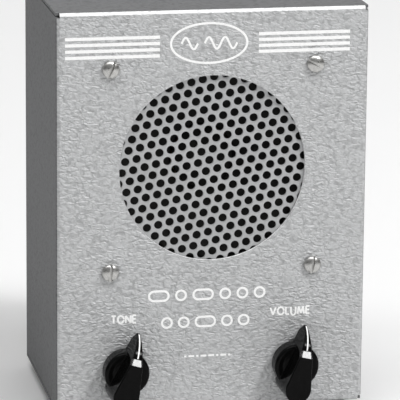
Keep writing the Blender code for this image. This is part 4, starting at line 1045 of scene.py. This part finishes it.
def knob(name):
    """Moulded pointer knob, with softened edges all over."""
    x, height = KNOB_SPOTS[name]
    center = place(x, 0, height)
    turn = (math.radians(90), KNOB_TILTS[name], 0.0)
    rim = arc(SKIRT_RADIUS - SKIRT_ROUND, SKIRT_TOP - SKIRT_ROUND, SKIRT_ROUND, 0, 90, 8)
    skirt = [(0.0, SKIRT_LOW), (SKIRT_RADIUS - 0.3, SKIRT_LOW), (SKIRT_RADIUS, SKIRT_LOW + 0.3), *rim,
             (SKIRT_RADIUS - 3.2, SKIRT_TOP - 0.15), (SKIRT_RADIUS - 3.8, SKIRT_TOP + 0.1),
             (0.0, SKIRT_TOP + 0.3)]
    body = turned(name + "_pointer_knob", skirt, 72, center, turn, MOULDING)
    weld(body, knob_bar(center, turn))
    recess = [(0.0, -1.0), (RECESS_RADIUS, -1.0), (RECESS_RADIUS, RECESS_TOP), (SHAFT_RADIUS, RECESS_TOP),
              (SHAFT_RADIUS, SHAFT_END), (0.0, SHAFT_END)]
    cut(body, turned("tool_recess", recess, 40, center, turn))
    bore = extruded("tool_bore", circle(SETSCREW_RADIUS, 24), 2.0, KNOB_TAIL + 3.0, (0, 0, 0), UPRIGHT)
    matrix = knob_matrix(center, turn)
    bore.matrix_world = (matrix @ Matrix.Translation((0, 0, SETSCREW_HEIGHT * MM))
                         @ Matrix.Rotation(math.radians(90), 4, "X"))
    cut(body, bore)
    remesh = body.modifiers.new("mould", "REMESH")
    remesh.mode = "VOXEL"
    remesh.voxel_size = 0.2 * MM
    smooth = body.modifiers.new("polish", "SMOOTH")
    smooth.factor = 0.5
    smooth.iterations = 6
    settle(body, smooth=60.0)
    polish_facet(body, matrix)
    stands_for(body, "knob_bakelite", name + "_knob", body=name + "_control")
    pointer_line(name, center, turn)


# ---- rubber and rear fittings


def foot(end, side):
    """Pushed-in rubber foot with a rounded tread."""
    x, depth, _ = middle("foot_" + end + "_" + side)
    low = -CASE_FLOOR
    profile = [(0.0, low + 0.5), (2.4, low + 0.5), (2.8, low), *arc(4.5, low + 1.0, 1.0, -90, 0, 6)]
    profile += [(6.4, -0.8), *arc(6.0, -0.8, 0.45, 0, 90, 4), (2.2, -GAP), (2.2, SHEET + GAP)]
    profile += [(3.3, SHEET + GAP), (3.2, 2.2), (2.0, 4.5), (0.0, 4.6)]
    piece = turned("rubber_foot_" + end + "_" + side, profile, 48, place(x, depth, 0), UPRIGHT,
                   FINISHES["rubber"])
    stands_for(piece, "rubber", "foot_" + end + "_" + side)


def grommet():
    """Rubber ring in the cord hole."""
    x, _, height = middle("cord_grommet")
    profile = [(3.2, -2.6), *arc(6.0, -2.2, 1.0, -90, 0, 6), (7.0, -GAP), (4.8, -GAP), (4.8, SHEET + GAP)]
    profile += [(7.0, SHEET + GAP), *arc(6.0, SHEET + 1.6, 1.0, 0, 90, 6)]
    profile += [(4.0, SHEET + 2.6), (3.4, SHEET + 2.3), (3.2, SHEET + 1.7)]
    piece = turned("inlet_grommet", profile, 48, place(x, COVER_FACE, height), FACING_BACK,
                   FINISHES["rubber"], ring=True)
    stands_for(piece, "rubber", "cord_grommet")


def terminal_board():
    """Laminated board with two binding screws."""
    node = "key_terminal_board"
    x, _, height = middle(node)
    front, face = depths(node)
    width, _, tall = spans(node)
    spot = place(x, front, height)
    board = extruded("terminal_board", rounded_rectangle(width, tall, 1.5), 0.0, face - front, spot,
                     FACING_BACK, FINISHES["phenolic"])
    holes = [(middle("terminal_screw_" + side)[0] - x, 0.0) for side in SIDES]
    drill(board, 2.1, 20, holes, -1.0, 4.0, FACING_BACK, spot)
    soften(board, 0.2)
    settle(board)
    stands_for(board, "phenolic", node)
    for side in SIDES:
        node = "terminal_screw_" + side
        spot_x, _, level = middle(node)
        round_head("binding_screw_" + side, node, place(spot_x, face, level), FACING_BACK, head=3.9,
                   height=depths(node)[1] - face, shank=1.7, length=9.0, turn=TERMINAL_TURNS[side],
                   finish=BRASS, slot_name="shaft_brass")


# ---- loudspeaker


NECK_RADIUS = 12.9
EDGE_STEPS = 12
EDGE_PITCH, EDGE_WAVE = 0.5, 0.35
CONE_STEPS = 24
CONE_RINGS, RING_WAVE = 5, 0.12
CAP_STEPS = 14


def paper_cone():
    """Paper cone with a corrugated edge, its neck and ribs pressed in rings."""
    front, neck = depths("speaker_cone")
    radius = spans("speaker_cone")[0] / 2
    outer = []
    for step in range(EDGE_STEPS + 1):
        wave = EDGE_WAVE * math.sin(math.tau * step / 4) if 0 < step < EDGE_STEPS else 0.0
        outer.append((radius - step * EDGE_PITCH, front + 0.65 + wave))
    start_r, start_d = outer[-1]
    for step in range(1, CONE_STEPS + 1):
        share = step / CONE_STEPS
        r = start_r + (NECK_RADIUS - start_r) * share
        d = start_d + (neck - 0.6 - start_d) * share ** 1.25
        outer.append((r, d + RING_WAVE * math.sin(math.tau * share * CONE_RINGS)))
    outer.append((NECK_RADIUS, neck - 0.1))
    inner = [(r - 0.02, d - 0.35) for r, d in reversed(outer)]
    piece = turned("paper_cone", outer + inner, 96, place(SPEAKER_X, 0, SPEAKER_Z), FACING_BACK,
                   FINISHES["cone_paper"], ring=True, smooth=80.0)
    stands_for(piece, "cone_paper", "speaker_cone", body="cone_assembly")


def dust_cap():
    """Domed paper cap over the neck of the cone."""
    front, back = depths("speaker_dust_cap")
    shares = [step / CAP_STEPS for step in range(CAP_STEPS + 1)]
    dome = [(NECK_RADIUS * share, front + (back - front) * share ** 2) for share in shares]
    under = [(max(0.0, r - 0.1), d + 0.3) for r, d in reversed(dome)]
    under[0] = (NECK_RADIUS - 0.2, back)
    piece = turned("cone_dust_cap", dome[:-1] + under, 48, place(SPEAKER_X, 0, SPEAKER_Z), FACING_BACK,
                   FINISHES["cone_paper"], smooth=80.0)
    stands_for(piece, "cone_paper", "speaker_dust_cap", body="cone_assembly")


# ---- valves


VALVE_METAL = plain_finish("electrode_metal", (0.10, 0.10, 0.105), 0.45, 0.9, grain=0.4, relief=0.02)
MICA = plain_finish("mica_disc", (0.72, 0.70, 0.62), 0.3, grain=1.2, spread=0.1, relief=0.01)
GETTER = bright_plate("getter_mirror", (0.35, 0.35, 0.38), 0.12)
VALVE_BASE = 5.8
VALVE_WALL = 0.7
SHOULDER = 4.0
PIN_CIRCLE = 4.8
PIN_RADIUS = 0.5
ROD_X, ROD_Y, ROD_RADIUS = 3.4, 3.0, 0.35


def valve(name):
    """Glass envelope with its tip and pins, round the electrode stack that shows through it."""
    node = name + "_valve"
    x, depth, _ = middle(node)
    radius = spans(node)[0] / 2
    tall = spans(node)[2]
    base = VALVE_BASE
    crown = tall - 4.2
    outside = [(0.0, base), (radius - 1.2, base), *arc(radius - 1.2, base + 1.2, 1.2, -60, 0, 5)]
    outside += [(radius - SHOULDER + px, crown - 6.0 + pz * 1.3) for px, pz in arc(0, 0, SHOULDER, 0, 62, 8)]
    outside += [(2.2, crown - 0.7), (1.2, crown + 0.6), (0.8, crown + 3.0), (0.0, crown + 4.1)]
    inside = [(0.0, crown - 1.8), (radius - 5.5, crown - 2.6)]
    thinner = (SHOULDER - VALVE_WALL) / SHOULDER
    inside += [(radius - SHOULDER + px * thinner, crown - 6.4 + pz * 1.2)
               for px, pz in arc(0, 0, SHOULDER, 60, 0, 6)]
    inside += [(radius - VALVE_WALL, base + 3.2), (radius - 2.4, base + 2.2), (0.0, base + 2.2)]
    spot = place(x, depth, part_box(node)[0].z / MM - CASE_FLOOR)
    envelope = turned(name + "_envelope", outside, 48, spot, UPRIGHT, GLASS)
    cut(envelope, turned("tool_envelope", list(reversed(inside)), 48, spot, UPRIGHT))
    settle(envelope, smooth=50.0)
    stands_for(envelope, "valve_glass", node)
    valve_electrodes(name, spot, base + 7.0, crown - 12.0, radius)
    valve_pins(name, spot)


def rod(bm, x, y, middle_height, length, low_radius, top_radius, sides):
    """Upright round rod added to a mesh."""
    bmesh.ops.create_cone(bm, cap_ends=True, segments=sides, radius1=low_radius, radius2=top_radius,
                          depth=length, matrix=Matrix.Translation((x, y, middle_height)))


def valve_electrodes(name, spot, low, high, radius):
    """Plate with folded wings, two mica discs, side rods and the getter ring under the crown."""
    sheets = [((-5.2, -2.6, low), (5.2, 2.6, high)), ((-6.6, -0.5, low + 1), (6.6, 0.5, high - 1))]
    plate = boxes(name + "_plate", sheets, spot, UPRIGHT, VALVE_METAL)
    fold = plate.modifiers.new("fold", "REMESH")
    fold.mode = "VOXEL"
    fold.voxel_size = 0.3 * MM
    settle(plate)
    stands_for(plate, "steel")
    profile = [(0.0, 0.0), (radius - 1.4, 0.0), (radius - 1.4, 0.4), (0.0, 0.4)]
    for end, level in (("lower", low - 1.2), ("upper", high + 0.5)):
        lifted = spot + Vector((0, 0, level * MM))
        stands_for(turned(name + "_mica_" + end, profile, 24, lifted, UPRIGHT, MICA), "winding_paper")
    rods = bmesh.new()
    for x in (-ROD_X, ROD_X):
        for y in (-ROD_Y, ROD_Y):
            rod(rods, x, y, (high + low) / 2 - 1.0, high - low + 7.0, ROD_RADIUS, ROD_RADIUS, 8)
    stands_for(to_object(name + "_rods", rods, spot, UPRIGHT, NICKEL), "nickel")
    getter = turned(name + "_getter", circle(0.45, 10, (2.6, high + 4.5)), 24, spot, UPRIGHT,
                    GETTER, ring=True)
    stands_for(getter, "nickel")


def valve_pins(name, spot):
    """Seven pins in a ring with one place left open."""
    bm = bmesh.new()
    length = VALVE_BASE + 0.1
    for step in range(7):
        turn = math.tau * (step + 1) / 8
        x, y = PIN_CIRCLE * math.cos(turn), PIN_CIRCLE * math.sin(turn)
        rod(bm, x, y, length / 2, length, ROD_RADIUS, PIN_RADIUS, 12)
    stands_for(to_object(name + "_pins", bm, spot, UPRIGHT, NICKEL), "nickel")


# ---- stage


FLOOR_TONE = (0.90, 0.90, 0.90, 1.0)
SWEEP_HALF_WIDTH = 3000.0
SWEEP_FRONT = -3500.0
SWEEP_BACK = 2200.0
SWEEP_HEIGHT = 3000.0
SWEEP_BEND = 900.0


def stage():
    """Pale seamless floor that bends up into the backdrop."""
    paper = Nodes("studio_paper")
    paper.set(Base_Color=FLOOR_TONE)
    ground = paper.finish(None, paper.spread(paper.noise(paper.spot, scale=900.0), 0.86, 0.94))
    bend_start = SWEEP_BACK - SWEEP_BEND
    profile = [(SWEEP_FRONT, 0.0), (bend_start, 0.0), *arc(bend_start, SWEEP_BEND, SWEEP_BEND, -90, 0, 16),
               (SWEEP_BACK, SWEEP_HEIGHT)]
    bm = bmesh.new()
    rows = [[bm.verts.new((side * SWEEP_HALF_WIDTH, y, z)) for side in (-1, 1)] for y, z in profile]
    for near, far in zip(rows, rows[1:]):
        bm.faces.new((near[0], near[1], far[1], far[0]))
    to_object("studio_sweep", bm, (0, 0, 0), UPRIGHT, ground, smooth=60.0)


LIGHT_TARGET = Vector((0.0, 0.0, 0.09))
KEY_DIRECTION = Vector((0.48, -0.49, 0.73))
KEY_DISTANCE = 4.0
KEY_POWER = 80.0
KEY_SIZE = (0.8, 0.8)
TOP_DIRECTION = Vector((-0.1, -0.35, 0.93))
TOP_DISTANCE = 3.0
TOP_POWER = 34.0
TOP_SIZE = (2.4, 0.9)
SKY_STRENGTH = 0.62
HORIZON_SHARE = 0.05


def area_light(name, direction, distance, size, power):
    """Rectangular lamp at a distance from the object, turned to it."""
    light = bpy.data.lights.new(name, "AREA")
    light.shape = "RECTANGLE"
    light.size, light.size_y = size
    light.energy = power
    item = bpy.data.objects.new(name, light)
    item.location = LIGHT_TARGET + direction * distance
    item.rotation_euler = (LIGHT_TARGET - item.location).to_track_quat("-Z", "Y").to_euler()
    bpy.context.collection.objects.link(item)


def lights():
    """Soft light from the upper right and a weaker panel overhead, under a sky that is dim at the horizon."""
    area_light("key", KEY_DIRECTION, KEY_DISTANCE, KEY_SIZE, KEY_POWER)
    area_light("top", TOP_DIRECTION, TOP_DISTANCE, TOP_SIZE, TOP_POWER)
    world = bpy.data.worlds.new("studio")
    bpy.context.scene.world = world
    world.use_nodes = True
    tree = world.node_tree
    direction = tree.nodes.new("ShaderNodeTexCoord")
    split = tree.nodes.new("ShaderNodeSeparateXYZ")
    tree.links.new(direction.outputs["Generated"], split.inputs[0])
    rise = tree.nodes.new("ShaderNodeMath")
    rise.operation = "MAXIMUM"
    rise.inputs[1].default_value = HORIZON_SHARE
    tree.links.new(split.outputs["Z"], rise.inputs[0])
    tree.links.new(rise.outputs[0], tree.nodes["Background"].inputs["Color"])
    tree.nodes["Background"].inputs["Strength"].default_value = SKY_STRENGTH
    bpy.context.scene.view_settings.view_transform = "Standard"


CAMERA_AZIMUTH = math.radians(11.14)
CAMERA_DIP = math.radians(-13.61)
CAMERA_ROLL = math.radians(0.5)
CAMERA_DISTANCE = 1300.0
CAMERA_TARGET = (-5.1, 0.0, 87.45)
CAMERA_LENS = 290.5
SENSOR = 36.0
FAR_CLIP = 50.0


def camera():
    """Long lens from a little left of and above the front."""
    ahead = Vector((math.sin(CAMERA_AZIMUTH) * math.cos(CAMERA_DIP),
                    math.cos(CAMERA_AZIMUTH) * math.cos(CAMERA_DIP), math.sin(CAMERA_DIP)))
    right = Vector((math.cos(CAMERA_AZIMUTH), -math.sin(CAMERA_AZIMUTH), 0.0))
    up = right.cross(ahead)
    turn = Matrix.Rotation(-CAMERA_ROLL, 3, ahead)
    right, up = turn @ right, turn @ up
    data = bpy.data.cameras.new("camera")
    data.sensor_width = SENSOR
    data.lens = CAMERA_LENS
    data.clip_end = FAR_CLIP
    item = bpy.data.objects.new("camera", data)
    bpy.context.collection.objects.link(item)
    spot = place(*CAMERA_TARGET) - ahead * CAMERA_DISTANCE * MM
    axes = Matrix((right, up, -ahead)).transposed().to_4x4()
    item.matrix_world = Matrix.Translation(spot) @ axes
    bpy.context.scene.camera = item


# ---- build


camera()
dress_frame()
front_case()
back_case()
printing()
grille()
fasteners()
for control in KNOB_SPOTS:
    knob(control)
for end_name in ENDS:
    for side_name in SIDES:
        foot(end_name, side_name)
grommet()
terminal_board()
paper_cone()
dust_cap()
for valve_name in ("rectifier", "output"):
    valve(valve_name)
stage()
lights()
